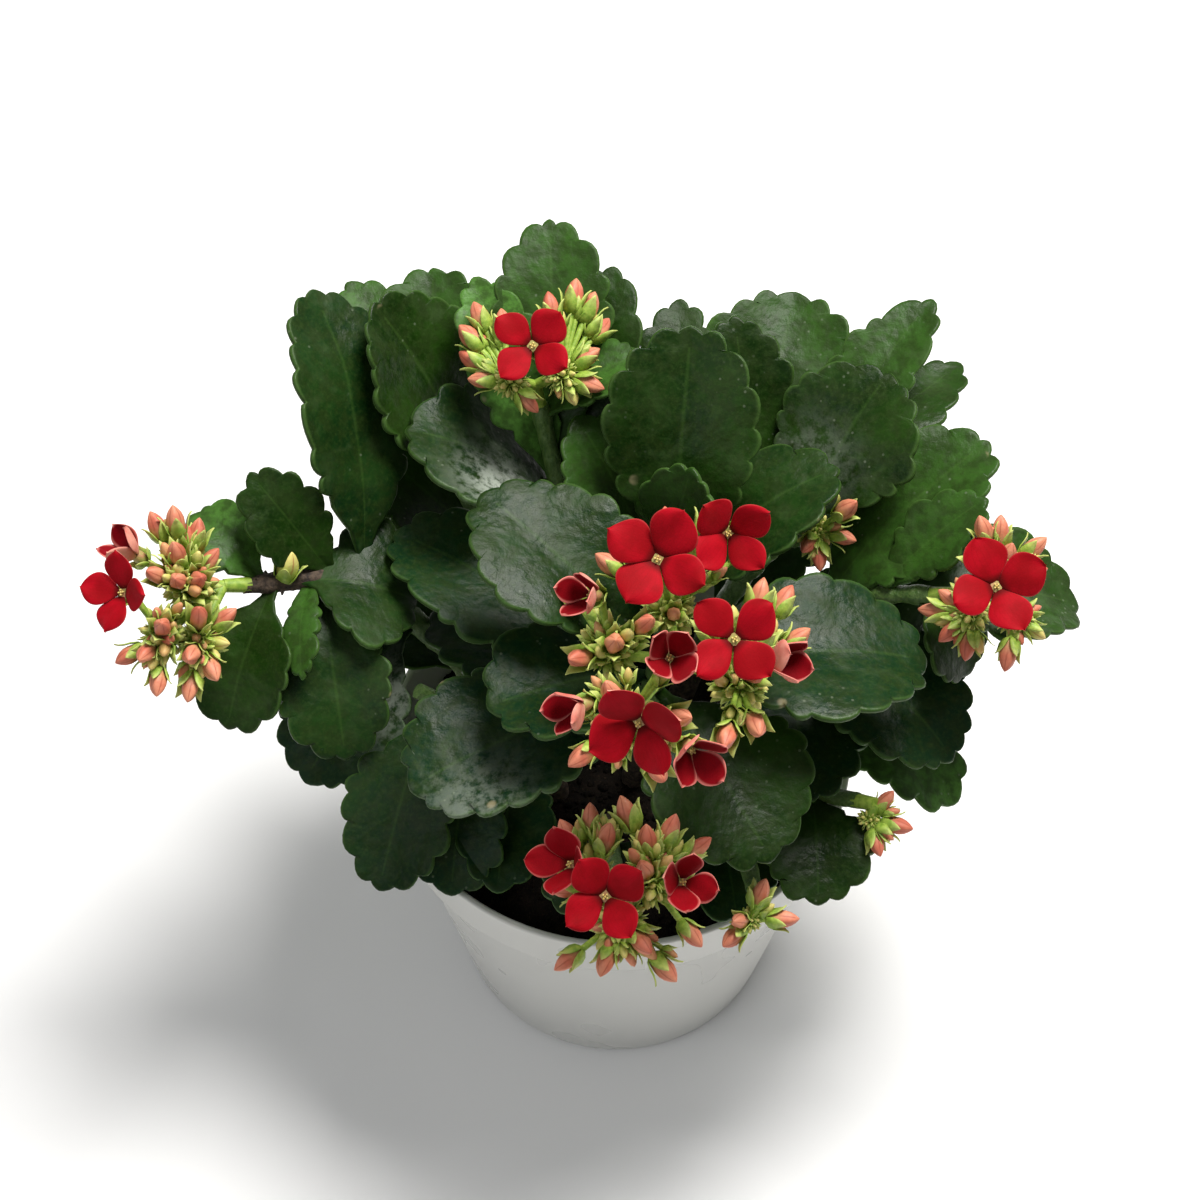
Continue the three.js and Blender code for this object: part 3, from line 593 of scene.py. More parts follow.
def leaf_edge(length, width, lobes, dice):
    """Two rows of points (along, across) round half a leaf: the plain edge and the lobed one."""
    share = (1 - np.cos(np.linspace(0, np.pi, OUTLINE_STEPS))) / 2
    petiole = PETIOLE_SHARE * length
    stalk = PETIOLE_HALF * (1 - share)
    x = petiole + (length - petiole) * share
    swell = 1 + SWELL * np.sin(2 * np.pi * (0.8 * share + dice.uniform(0, 1)))
    y = stalk + (width / 2 - stalk) * blade_half(share) * swell
    reach = np.concatenate([[0], np.cumsum(np.hypot(np.diff(x), np.diff(y)))])

    def on_edge(place):
        return np.stack([np.interp(place, reach, x), np.interp(place, reach, y)])

    total = reach[-1]
    plain = PLAIN_SHARE * total
    marks = [plain + (total - plain) * i / (lobes + 0.5) for i in range(lobes + 1)]
    jitter = [dice.uniform(-LOBE_JITTER, LOBE_JITTER) * LOBE_LENGTH for _ in marks[1:]]
    marks[1:] = [mark + shift for mark, shift in zip(marks[1:], jitter)]
    places, outward = list(np.linspace(0, plain, PLAIN_STEPS + 2)[1:-1]), [0.0] * PLAIN_STEPS
    for i, start in enumerate(marks):
        last = i == len(marks) - 1
        end = total + (total - start) if last else marks[i + 1]
        depth = min(LOBE_DEPTH, 0.3 * (end - start)) * dice.uniform(0.6, 1.3)
        depth = TIP_DEPTH if last else depth
        for step in TIP_STEPS if last else LOBE_STEPS:
            places.append(start + step * (end - start))
            outward.append(depth * (math.sin(math.pi * step ** LOBE_LEAN) ** 0.6 - 0.5))
    places, outward = np.array(places), np.array(outward)
    flat = on_edge(places)
    slope = on_edge(places + SLOPE_STEP) - on_edge(places - SLOPE_STEP)
    run = np.hypot(*slope)
    lobed = np.stack([flat[0] - slope[1] / run * outward, flat[1] + slope[0] / run * outward])
    lobed[1] = np.maximum(lobed[1], 0)
    lobed[:, -1] = flat[0, -1] + outward[-1], 0
    flat[1, -1] = 0
    root_x = np.linspace(0, petiole, PETIOLE_STEPS + 1)[:-1]
    root = np.stack([root_x, ROOT_HALF + (PETIOLE_HALF - ROOT_HALF) * root_x / petiole])
    return np.hstack([root, flat]), np.hstack([root, lobed])


print("a 50 mm leaf with 6 lobes has", leaf_edge(50, 30, 6, np.random.default_rng(1))[0].shape[1],
      "points along one edge")

# %% [markdown]
# Rings of points run from the middle vein out to that edge, on the upper and the lower face. The
# last rings draw together like the edge of a coin, so the margin is round and catches light.
# The bend, the keel and the waves move both faces alike, which keeps the thickness even.

# %% Leaf surface
LEAF_THICK = 1.4
RIM = (0.8, 0.42, 0.14, 0.0)
INNER = (0.0, 0.18, 0.38, 0.58, 0.78)
INNERMOST = 0.3
RIB_END = 0.93
KEEL = 0.16
KEEL_SOFT = 2.5
WAVE = 1.1
WAVE_LENGTH = 6.0
ARCH = 0.1
BUCKLE = 1.3
BUCKLE_SIZE = 17.0
GROOVE = 0.35
GROOVE_HALF = 0.9
FOOT_TAPER = 1.5
BUCKLE_FROM = 0.4
LOBE_FADE = 5
SHEEN_PATCH_SIZE = (0.2, 0.28)


def leaf_bend(root, tip, width, roll):
    """A function that lays flat points (along, across, up) on the bent leaf, and its length."""
    chord = tip - root
    length = np.linalg.norm(chord)
    forward = chord / length
    normal = unit(np.array([0, 0, 1.0]) - forward * forward[2])
    normal = np.array(Matrix.Rotation(math.radians(roll), 3, Vector(forward)) @ Vector(normal))
    side = np.cross(normal, forward)
    control = (root + tip) / 2 + normal * 2 * ARCH * length
    phase = root[0] + tip[1]

    def bend(x, y, up):
        share = np.minimum(x / length, 1)[:, None]
        place = root * (1 - share) ** 2 + control * 2 * share * (1 - share) + tip * share ** 2
        along = (control - root) * (1 - share) + (tip - control) * share
        along /= np.linalg.norm(along, axis=1)[:, None]
        out = np.cross(along, side)
        waves = WAVE * np.sin(phase + x / WAVE_LENGTH + np.sign(y)) * (2 * y / width) ** 2
        flat = place + side * y[:, None] + along * np.maximum(x - length, 0)[:, None]
        buckle = np.array([noise.noise(Vector(p / BUCKLE_SIZE + 7)) for p in flat])
        keel = KEEL * (np.hypot(y, KEEL_SOFT) - KEEL_SOFT)
        lift = keel + waves + up + BUCKLE * buckle * np.minimum(x / (BUCKLE_FROM * length), 1)
        return flat + out * lift[:, None]

    return bend, length


def leaf_mesh(root, tip, width, roll, tone, seed, patch=(0, 0, 0)):
    """One leaf as (points, faces, values), in millimetres."""
    bend, length = leaf_bend(root, tip, width, roll)
    dice = np.random.default_rng(seed)
    parts = []
    lobes = leaf_lobes(length, width, dice)
    edges = {hand: leaf_edge(length, width, lobes, dice) for hand in (1, -1)}
    rib_x = np.minimum((edges[1][0][0] + edges[-1][0][0]) / 2, RIB_END * length)
    for hand, (plain_edge, lobed_edge) in edges.items():
        half = np.maximum(np.hypot(lobed_edge[0] - rib_x, lobed_edge[1]), 1e-6)
        shares = [inner * np.maximum(1 - RIM[0] / half, INNERMOST) for inner in INNER]
        shares += [np.maximum(1 - rim / half, INNERMOST + 0.7 * (1 - rim)) for rim in RIM]
        for face in (1, -1):
            rings = []
            for ring, share in enumerate(shares):
                lobed = share ** LOBE_FADE
                x = rib_x + (plain_edge[0] - rib_x) * share + (lobed_edge[0] - plain_edge[0]) * lobed
                y = plain_edge[1] * share + (lobed_edge[1] - plain_edge[1]) * lobed
                gone = max(ring - len(INNER), 0) / (len(RIM) - 1)
                full = math.sqrt(max(1 - gone ** 2, 0)) * np.minimum(x / FOOT_TAPER, 1)
                line = np.exp(-((y / GROOVE_HALF) ** 2)) * np.clip(1 - x / length, 0, 1)
                groove = GROOVE * full * line
                up = face * (LEAF_THICK / 2 * full) - (groove if face > 0 else -0.5 * groove)
                rings.append((x, hand * y, up))
            x, y, up = np.concatenate(rings, axis=1)
            faces = grid_faces(len(shares), len(rib_x), rows_first=True, flip=face * hand > 0)
            # Where the painted highlight sits on the leaf, fading out from its middle.
            painted_sheen = ((x / length - patch[1]) / SHEEN_PATCH_SIZE[0]) ** 2
            painted_sheen = -painted_sheen - ((y / width - patch[2]) / SHEEN_PATCH_SIZE[1]) ** 2
            values = {
                "across": np.concatenate(shares),
                "along": x / length,
                "under": np.full(len(x), float(face < 0)),
                "tone": np.full(len(x), tone),
                "patch": patch[0] * np.exp(painted_sheen),
            }
            parts.append((bend(x, y, up), faces, values))
    return parts


print("one leaf is", sum(len(part[1]) for part in leaf_mesh(
    np.array([0.0, 0, 0]), np.array([50.0, 0, 20]), 30, 0, 0, 1)), "faces")

# %% [markdown]
# ## Where a leaf joins its stem
# The frame's stems are smooth lines through their points, in which a share of the way means a
# share of the length. The same spline is worked out here, so each leaf stands on its stem.

# %% Stem line
GROUND = 70.5
ROOT_DEPTH = 14.0
ROUTE_STEPS = 200


def stem_points(way):
    return [np.array([way[0][0], way[0][1], GROUND], float)] + [np.array(p, float) for p in way[1:]]


def spline(points, share):
    """A point on the centripetal spline through the points."""
    place = (len(points) - 1) * share
    i = min(int(place), len(points) - 2)
    part = place - i
    p1, p2 = points[i], points[i + 1]
    p0 = points[i - 1] if i > 0 else 2 * p1 - p2
    p3 = points[i + 2] if i + 2 < len(points) else 2 * p2 - p1
    d0, d1, d2 = (np.sqrt(np.linalg.norm(b - a)) for a, b in ((p0, p1), (p1, p2), (p2, p3)))
    t1 = ((p1 - p0) / d0 - (p2 - p0) / (d0 + d1) + (p2 - p1) / d1) * d1
    t2 = ((p2 - p1) / d1 - (p3 - p1) / (d1 + d2) + (p3 - p2) / d2) * d1
    c2 = -3 * p1 + 3 * p2 - 2 * t1 - t2
    c3 = 2 * p1 - 2 * p2 + t1 + t2
    return p1 + t1 * part + c2 * part ** 2 + c3 * part ** 3


def stem_line(way):
    """Points along a stem, and how far along it each one is."""
    points = stem_points(way)
    line = np.array([spline(points, i / ROUTE_STEPS) for i in range(ROUTE_STEPS + 1)])
    return line, lengths(line)


def on_stem(line, reach, share):
    return np.array([np.interp(share * reach[-1], reach, line[:, axis]) for axis in range(3)])


print("the left stem is", round(stem_line(STEMS["left"]["way"])[1][-1]), "mm long")

# %% [markdown]
# Now one loop grows all the leaves, and each stem's leaves become one object. The pale number
# falls a little with each millimetre below the top. This is painted shade: low leaves come out
# darker and bluer, for the shadow that the leaves above cast on them.

# %% Leaves
PAINTED_SHADE_TOP = 132
PAINTED_SHADE_RATE = 0.01
fresh_pieces = []
for number, (name, stem) in enumerate(STEMS.items()):
    line, reach = stem_line(stem["way"])
    parts = []
    for i, (share, tip, width, roll, tone) in enumerate(stem["leaves"]):
        root = on_stem(line, reach, share)
        seed = 100 * number + i
        # Painted shade: the lower the leaf's tip, the darker its number.
        tone -= PAINTED_SHADE_RATE * max(PAINTED_SHADE_TOP - tip[2], 0)
        patch = SHEEN_PATCHES.get((name, i), (0, 0, 0))
        parts += leaf_mesh(root, np.array(tip, float), width, roll, tone, seed, patch)
    leaves = mesh_object(f"leaves_{name}", *welded(parts), LEAF)
    fresh_pieces.append((leaves, "leaf", f"stem_{name}"))
    print(leaves.name, len(leaves.data.polygons), "faces")

# %% [markdown]
# ## Geometry Nodes
# Stems and flower stalks follow a path, and buds repeat, so node trees make them. A tree has
# named inputs for its sizes. Once it has run, its result is taken as a plain mesh, because a
# finished piece can't depend on a modifier that another program doesn't know.

# %% Tree helpers
def new_tree(name, inputs):
    """A node tree with a geometry input and output, and the sockets of its named inputs."""
    tree = bpy.data.node_groups.new(name, "GeometryNodeTree")
    for label, kind in (("Geometry", "Geometry"), *inputs):
        tree.interface.new_socket(label, in_out="INPUT", socket_type=f"NodeSocket{kind}")
    tree.interface.new_socket("Geometry", in_out="OUTPUT", socket_type="NodeSocketGeometry")
    return tree, tree.nodes.new("NodeGroupInput").outputs


def end_tree(tree, geometry, finish):
    """Every tree ends alike: real copies, shaded smooth, in the finish that it was given."""
    real = add_node(tree, "GeometryNodeRealizeInstances", {0: geometry})
    smooth = add_node(tree, "GeometryNodeSetShadeSmooth", {0: real})
    paint = add_node(tree, "GeometryNodeSetMaterial", {"Geometry": smooth, "Material": finish})
    add_node(tree, "NodeGroupOutput", {0: paint})
    return tree


def stored(tree, name, kind="FLOAT"):
    """What the points carry under that name."""
    return add_node(tree, "GeometryNodeInputNamedAttribute", {"Name": name}, data_type=kind)


def evaluated_mesh(obj):
    """A plain mesh of an object as its modifiers leave it."""
    bpy.context.view_layer.update()
    ready = obj.evaluated_get(bpy.context.evaluated_depsgraph_get())
    return bpy.data.meshes.new_from_object(ready)


def run_tree(name, source, tree, values):
    """The source object's mesh after the tree, as a new plain object."""
    modifier = source.modifiers.new("grow", "NODES")
    modifier.node_group = tree
    for item in tree.interface.items_tree:
        if item.in_out == "INPUT" and item.name in values:
            modifier[item.identifier] = values[item.name]
    mesh = evaluated_mesh(source)
    mesh.name = name
    source.modifiers.remove(modifier)
    bpy.data.objects.remove(source)
    return link_object(name, mesh)


print("tree helpers ready")

# %% [markdown]
# The first tree turns lines into stalks: each line becomes a curve, a circle runs along it at the
# size that its points carry, and a noise pushes the skin in and out a little.

# %% Stalk tree
LUMPS_SCALE = 260.0


def stalk_tree():
    """Thickens lines by the radius on their points, and roughens the skin a little."""
    tree, given = new_tree("stalks", [("Sides", "Int"), ("Finish", "Material"), ("Lumps", "Float")])
    line = add_node(tree, "GeometryNodeMeshToCurve", {"Mesh": given["Geometry"]})
    ring = add_node(tree, "GeometryNodeCurvePrimitiveCircle",
                    {"Resolution": given["Sides"], "Radius": 1.0}, mode="RADIUS")
    skin = add_node(tree, "GeometryNodeCurveToMesh", {
        "Curve": line, "Profile Curve": ring, "Scale": stored(tree, "radius"), "Fill Caps": True})
    lumps = add_node(tree, "ShaderNodeTexNoise", {"Scale": LUMPS_SCALE})
    centred = add_node(tree, "ShaderNodeMath", {0: lumps, 1: 0.5}, operation="SUBTRACT")
    height = add_node(tree, "ShaderNodeMath", {0: centred, 1: given["Lumps"]}, operation="MULTIPLY")
    outward = tree.nodes.new("GeometryNodeInputNormal")
    offset = add_node(tree, "ShaderNodeVectorMath", {0: outward, "Scale": height}, operation="SCALE")
    moved = add_node(tree, "GeometryNodeSetPosition", {"Geometry": skin, "Offset": offset})
    return end_tree(tree, moved, given["Finish"])


STALK_TREE = stalk_tree()


def stalks(name, lines, material, sides=8, lumps=0.0):
    """Lines are lists of (point, radius), in millimetres."""
    points, edges, radii = [], [], []
    for line in lines:
        start = len(points)
        points += [tuple(np.asarray(p) * MM) for p, _ in line]
        radii += [radius * MM for _, radius in line]
        edges += [(start + i, start + i + 1) for i in range(len(line) - 1)]
    mesh = bpy.data.meshes.new(name)
    mesh.from_pydata(points, edges, [])
    set_numbers(mesh, {"radius": radii})
    return run_tree(name, link_object(f"{name}_lines", mesh), STALK_TREE,
                    {"Sides": sides, "Finish": material, "Lumps": lumps * MM})


print("stalk tree has", len(STALK_TREE.nodes), "nodes")

# %% [markdown]
# ## Stems
# Young stems are green and turn brown and woody from the soil up, with a swelling where each pair
# of leaves joins. The colour could follow the height, but the longest stem turns woody again near
# its far end, so each point carries its own number for how woody it is.

# %% Stem finish
def stem_finish():
    f = Finish("stem skin")
    rough = f.noise(900.0, 5.0)
    streak = f.noise(1.0, 4.0, f.stretched((1500.0, 1500.0, 260.0)))
    green = f.spread(streak, 0.3, 0.7, rgb(0.05, 0.11, 0.02), rgb(0.1, 0.17, 0.04))
    bark = f.spread(rough, 0.35, 0.65, rgb(0.018, 0.011, 0.007), rgb(0.075, 0.05, 0.032))
    ragged = f.maths("ADD", f.attribute("woody"), f.between(rough, 0.3, 0.7, -0.25, 0.25))
    wood = f.between(ragged, 0.35, 0.65)
    colour = f.mix(wood, green, bark)
    return f.shade(colour, f.between(wood, 0, 1, 0.45, 0.85), f.bump(rough, 0.8, 0.0006))


STEM = stem_finish()
STEM_RADIUS = 3.0
STEM_TIP_RADIUS = 1.7
STEM_SIDES = 16
STEM_STEP = 4
JOINT_SWELL = 0.45
JOINT_SWELL_MOST = 0.7
JOINT_SHARE = 0.025
WOODY_UP_TO = 0.45
WOODY_AGAIN = 0.55
STEM_LUMPS = {"left": 2.2}


def woody(name, share):
    """How woody a stem is: brown low down, and again at the far end of the left one."""
    return 1.0 if name == "left" and share > WOODY_AGAIN else max(0.0, 1 - share / WOODY_UP_TO)


def stem_piece(name, stem):
    """A stem from inside the soil to its tip, swollen where its leaves join."""
    line, reach = stem_line(stem["way"])
    joints = [leaf[0] for leaf in stem["leaves"]]
    row = [(np.array([line[0][0], line[0][1], GROUND - ROOT_DEPTH - 1]), STEM_RADIUS)]
    shares = [0.0]
    for i in range(0, ROUTE_STEPS + 1, STEM_STEP):
        share = reach[i] / reach[-1]
        swell = sum(JOINT_SWELL * math.exp(-(((share - joint) / JOINT_SHARE) ** 2)) for joint in joints)
        thick = STEM_RADIUS + (STEM_TIP_RADIUS - STEM_RADIUS) * share
        row.append((line[i], thick + min(swell, JOINT_SWELL_MOST)))
        shares.append(share)
    piece = stalks(f"stalk_{name}", [row], STEM, STEM_SIDES, STEM_LUMPS.get(name, 0.9))
    places = np.array([vertex.co for vertex in piece.data.vertices]) / MM
    steps = [int(np.argmin(np.linalg.norm(line - p, axis=1)) / STEM_STEP) for p in places]
    set_numbers(piece.data, {"woody": [woody(name, shares[step]) for step in steps]})
    return piece


for name, stem in STEMS.items():
    fresh_pieces.append((stem_piece(name, stem), "leaf", f"stem_{name}"))
print("stems:", len(STEMS))

# %% [markdown]
# The bare end of the left stem has short dry air roots. They are thin tapering lines that start
# inside the stem, so the same stalk tree makes them.

# %% Air roots
ROOTS = 26
ROOTS_FROM = 0.78
ROOT_SEED = 40
root_dice = np.random.default_rng(ROOT_SEED)
left_line, left_reach = stem_line(STEMS["left"]["way"])
root_lines = []
for _ in range(ROOTS):
    start = on_stem(left_line, left_reach, root_dice.uniform(ROOTS_FROM, 0.99))
    out = unit(root_dice.normal(0, 1, 3) * np.array([0.5, 1.0, 1.0]))
    first = start + out * 1.4
    last = start + out * root_dice.uniform(2.4, 4.2) + np.array([0, 0, -0.5])
    root_lines.append([(first, 0.9), ((first + last) / 2, 0.6), (last, 0.22)])
air_roots = stalks("air_roots_left", root_lines, STEM, 7, 0.6)
set_numbers(air_roots.data, {"woody": np.ones(len(air_roots.data.vertices))})
fresh_pieces.append((air_roots, "leaf", "stem_left"))
print("air roots:", ROOTS)

# %% [markdown]
# ## Buds
# A closed bud is a spindle of four petals rolled up, coral with darker seams, and it stands in a
# calyx of four narrow green sepals whose tips curl out. The green ones in the middle of a head
# are younger and shorter. One bud and one calyx are modelled, with a plainer one of each for the
# youngest, and a node tree sets copies of them on points that carry a turn, a size and a ripeness.

# %% Bud finish
SOFT_SKIN = {"subsurface_weight": 0.06, "subsurface_radius": (1.0, 0.5, 0.3),
             "subsurface_scale": 0.0006, "specular_ior_level": 0.3}


def bud_finish():
    f = Finish("bud skin")
    up, streak = f.attribute("up"), f.noise(1600.0, 3.0)
    coral = f.spread(f.noise(180.0), 0.35, 0.65, rgb(0.5, 0.125, 0.075), rgb(0.62, 0.24, 0.14))
    warm = f.spread(up, 0.1, 0.6, rgb(0.5, 0.3, 0.12), coral)
    young = f.spread(up, 0.3, 1.0, rgb(0.36, 0.43, 0.08), rgb(0.6, 0.52, 0.17))
    skin = f.spread(f.attribute("ripe"), 0.2, 0.8, young, warm)
    seam = f.between(f.attribute("seam"), 0.8, 1.0, 0.0, 0.7)
    lined = f.mix(seam, skin, rgb(0.3, 0.06, 0.03))
    veined = f.mix(f.between(streak, 0.55, 0.75, 0.0, 0.3), lined, rgb(0.42, 0.12, 0.07))
    return f.shade(veined, 0.5, f.bump(streak, 0.3, 0.0002), **SOFT_SKIN)


def sepal_finish():
    f = Finish("sepal green")
    streak = f.noise(900.0, 3.0)
    base = f.spread(streak, 0.3, 0.7, rgb(0.17, 0.29, 0.03), rgb(0.33, 0.45, 0.07))
    tipped = f.mix(f.between(f.attribute("up"), 0.4, 1.0, 0.0, 0.6), base, rgb(0.58, 0.6, 0.2))
    return f.shade(tipped, 0.5, f.bump(streak, 0.3, 0.0003), **SOFT_SKIN)


BUD, SEPAL = bud_finish(), sepal_finish()
print("bud finishes ready")

# %% [markdown]
# Both shapes are of length 1, so that a copy's size is simply how long it should be.

# %% Bud and calyx shapes
BUD_PROFILE = ((0.0, 0.12), (0.07, 0.18), (0.2, 0.225), (0.4, 0.25), (0.58, 0.245), (0.74, 0.2),
               (0.87, 0.125), (0.96, 0.05), (1.0, 0.0))
BUD_TWIST = 0.5
BUD_RIDGE = 0.1


def bud_shape(profile=BUD_PROFILE, sides=16):
    """A bud of length 1 along +Z, four-angled, with its seams a quarter turn apart."""
    points, seams, ups = [], [], []
    for height, radius in profile:
        for k in range(sides):
            turn = 2 * math.pi * k / sides
            ridge = math.cos(4 * (turn - BUD_TWIST * height))
            out = radius * (1 + BUD_RIDGE * ridge)
            points.append((out * math.cos(turn), out * math.sin(turn), height))
            seams.append((1 - ridge) / 2)
            ups.append(height)
    faces = grid_faces(len(profile), sides, wrap=True) + [list(range(sides))[::-1]]
    return weld(np.array(points), faces, {"seam": np.array(seams), "up": np.array(ups)})


SEPAL_STEPS = ((0.0, 0.08, 0.1), (0.1, 0.2, 0.16), (0.26, 0.27, 0.185), (0.42, 0.31, 0.145),
               (0.56, 0.37, 0.075), (0.66, 0.45, 0.012))
SEPAL_THICK = 0.028
SEPAL_CURL = 0.02


def calyx_shape(steps=SEPAL_STEPS, columns=(-1, 0, 1)):
    """Four sepals for a bud of length 1: (height, distance out, half width) along each."""
    rows, wide = len(steps), len(columns)
    other, end = rows * wide, (rows - 1) * wide
    parts = []
    for leaf in range(4):
        points, ups = [], []
        for face in (1, -1):
            for height, out, half in steps:
                for across in columns:
                    x = out + face * SEPAL_THICK / 2 - SEPAL_CURL * abs(across)
                    points.append((x, across * half, height))
                    ups.append(height / steps[-1][0])
        faces = grid_faces(rows, wide)
        faces += [[c + other for c in quad] for quad in grid_faces(rows, wide, flip=True)]
        for a in range(0, end, wide):
            b = a + wide - 1
            faces.append([a, a + wide, a + wide + other, a + other])
            faces.append([b + wide, b, b + other, b + wide + other])
        for k in range(wide - 1):
            faces.append([k, k + other, k + 1 + other, k + 1])
            faces.append([end + k, end + k + 1, end + k + 1 + other, end + k + other])
        turn = Matrix.Rotation(leaf * math.pi / 2, 3, "Z")
        turned = np.array([tuple(turn @ Vector(p)) for p in points])
        parts.append((turned, faces, {"up": np.array(ups)}))
    return joined(parts)


YOUNG_BUD = bud_shape(BUD_PROFILE[::2], 8)
YOUNG_CALYX = calyx_shape([SEPAL_STEPS[i] for i in (0, 2, 4, 5)], (-1, 1))
print("bud faces:", len(bud_shape()[1]), "young:", len(YOUNG_BUD[1]))
print("calyx faces:", len(calyx_shape()[1]), "young:", len(YOUNG_CALYX[1]))

# %% [markdown]
# The second tree sets a shape on points. The copies are made real at its end, because each one
# has to be plain mesh in the finished piece.

# %% Placing tree
def placing_tree():
    """Sets a shape on each point, turned and sized by the point's own attributes."""
    tree, given = new_tree("placing", [("Shape", "Object"), ("Finish", "Material")])
    shape = add_node(tree, "GeometryNodeObjectInfo", {"Object": given["Shape"]})
    copies = add_node(tree, "GeometryNodeInstanceOnPoints", {
        "Points": given["Geometry"], "Instance": shape.outputs["Geometry"],
        "Rotation": stored(tree, "turn", "FLOAT_VECTOR"), "Scale": stored(tree, "size", "FLOAT_VECTOR")})
    return end_tree(tree, copies, given["Finish"])


PLACING_TREE = placing_tree()


def place_copies(name, shape, spots, material):
    """Spots are (place, heading, spin, size, ripeness); sizes and places in millimetres."""
    pattern = mesh_object(f"{name}_shape", *shape, material)
    mesh = bpy.data.meshes.new(name)
    mesh.from_pydata([tuple(np.asarray(spot[0]) * MM) for spot in spots], [], [])
    turns, sizes = [], []
    for _, heading, spin, size, _ in spots:
        upright = Vector(heading).to_track_quat("Z", "Y").to_matrix()
        turns.append(tuple((upright @ Matrix.Rotation(spin, 3, "Z")).to_euler()))
        sizes.append(np.broadcast_to(size, 3) * MM)
    set_numbers(mesh, {"turn": turns, "size": sizes}, "FLOAT_VECTOR")
    set_numbers(mesh, {"ripe": [spot[4] for spot in spots]})
    source = link_object(f"{name}_points", mesh)
    result = run_tree(name, source, PLACING_TREE, {"Shape": pattern, "Finish": material})
    bpy.data.objects.remove(pattern)
    return result


print("placing tree has", len(PLACING_TREE.nodes), "nodes")

# %% [markdown]
# The bare left stem carries one young shoot, a plump green bud in its own four small leaves.

# %% Young shoot
shoot_foot = on_stem(left_line, left_reach, 0.9)
shoot_out = (0.35, 0.3, 1.0)
shoot = place_copies("shoot_left", bud_shape(), [(shoot_foot, shoot_out, 0.3, (9, 9, 8), 0.0)], BUD)
shoot_leaves = place_copies("shoot_leaves_left", calyx_shape(), [(shoot_foot, shoot_out, 0.7, 9, 0.0)],
                            SEPAL)
fresh_pieces += [(shoot, "leaf", "stem_left"), (shoot_leaves, "leaf", "stem_left")]
print("shoot faces:", len(shoot.data.polygons) + len(shoot_leaves.data.polygons))

# %% [markdown]
# ## Flowers
# A flower has four broad crimson petals with a velvety face, a coral back and a fine pale rim,
# on a narrow tube, with tiny yellow anthers in its throat. Just opened ones stand up like a cup.
# A petal is a grid that follows a curved middle line, and the same function makes open and
# cupped flowers, because only the rise of that line differs.

# %% Petal finish
def petal_finish():
    f = Finish("velvet petal")
    across, along, under = f.attribute("across"), f.attribute("along"), f.attribute("under")
    cupped = f.attribute("cupped")
    wide = f.noise(160.0, 3.0)
    fine = f.noise(3200.0, 2.0)
    red = f.spread(wide, 0.35, 0.65, rgb(0.25, 0.0006, 0.004), rgb(0.35, 0.001, 0.008))
    # Painted shade: a cupped flower's petals are painted darker on their inner face, inside the cup.
    inner = f.mix(f.times(cupped, 0.6), red, rgb(0.1, 0.0006, 0.003))
    # Painted shade: every petal is painted darker towards the flower's centre.
    throat = f.spread(along, 0.26, 0.08, inner, rgb(0.09, 0.002, 0.002))
    lines = f.maths("SINE", f.times(across, 26.0))
    veined = f.mix(f.between(lines, 0.7, 1.0, 0.0, 0.2), throat, rgb(0.2, 0.0005, 0.003))
    rim = f.between(f.maths("ABSOLUTE", across), f.between(cupped, 0.0, 1.0, 0.92, 0.72), 1.0)
    tip = f.between(along, f.between(cupped, 0.0, 1.0, 0.97, 0.9), 1.0)
    edge = f.times(f.maths("MAXIMUM", rim, tip), f.between(cupped, 0.0, 1.0, 0.12, 0.9))
    rimmed = f.mix(edge, veined, rgb(0.72, 0.24, 0.2))
    coral = f.spread(wide, 0.3, 0.7, rgb(0.55, 0.13, 0.1), rgb(0.72, 0.33, 0.25))
    flushed = f.mix(f.between(along, 0.35, 0.0, 0.0, 0.7), coral, rgb(0.6, 0.42, 0.22))
    colour = f.mix(under, rimmed, flushed)
    return f.shade(colour, 0.65, f.bump(fine, 0.35, 0.00012), sheen_weight=0.04, sheen_roughness=0.5,
                   sheen_tint=rgb(1.0, 0.35, 0.35), specular_ior_level=0.08, subsurface_weight=0.04,
                   subsurface_radius=(1.0, 0.2, 0.1), subsurface_scale=0.0006)


PETAL = petal_finish()
print("petal finish has", len(PETAL.node_tree.nodes), "nodes")

# %% [markdown]
# A petal's width comes from three short rules: a narrow claw, an oval blade and a small point at
# the tip. A few random numbers for each petal keep the four from looking stamped.

# %% Flower shape
PETAL_ROWS = 28
PETAL_COLUMNS = 15
PETAL_THICK = 0.4
PETAL_HALF = 0.43
PETAL_WIDEST = 0.58
PETAL_ROUND_END = 0.975
PETAL_LEAN = 0.07
PETAL_ROOT = (0.55, -0.9)
PETAL_MOUTH = 1.05
PETAL_RIPPLE = 0.28
TILT_JITTER = 4
TURN_JITTER = 0.1
LEAN_JITTER = 0.06
CUPPED_FROM = 30
CUPPED_OVER = 35


def petal_half(share, sharp):
    """The half width of a petal as a part of its widest: narrow claw, oval blade, small point.

    A sharp of 0.5 gives a round end, and of 0.9 a pointed one.
    """
    claw = 0.16 + 0.84 * np.sin(np.pi / 2 * np.clip(share / PETAL_WIDEST, 0, 1)) ** 1.3
    out = np.maximum(share - PETAL_WIDEST, 0) / (PETAL_ROUND_END - PETAL_WIDEST)
    blade = np.clip(1 - out ** 2, 0, 1) ** sharp
    point = 1.8 * np.clip(1 - share, 0, 0.12)
    return claw * np.maximum(blade, point)


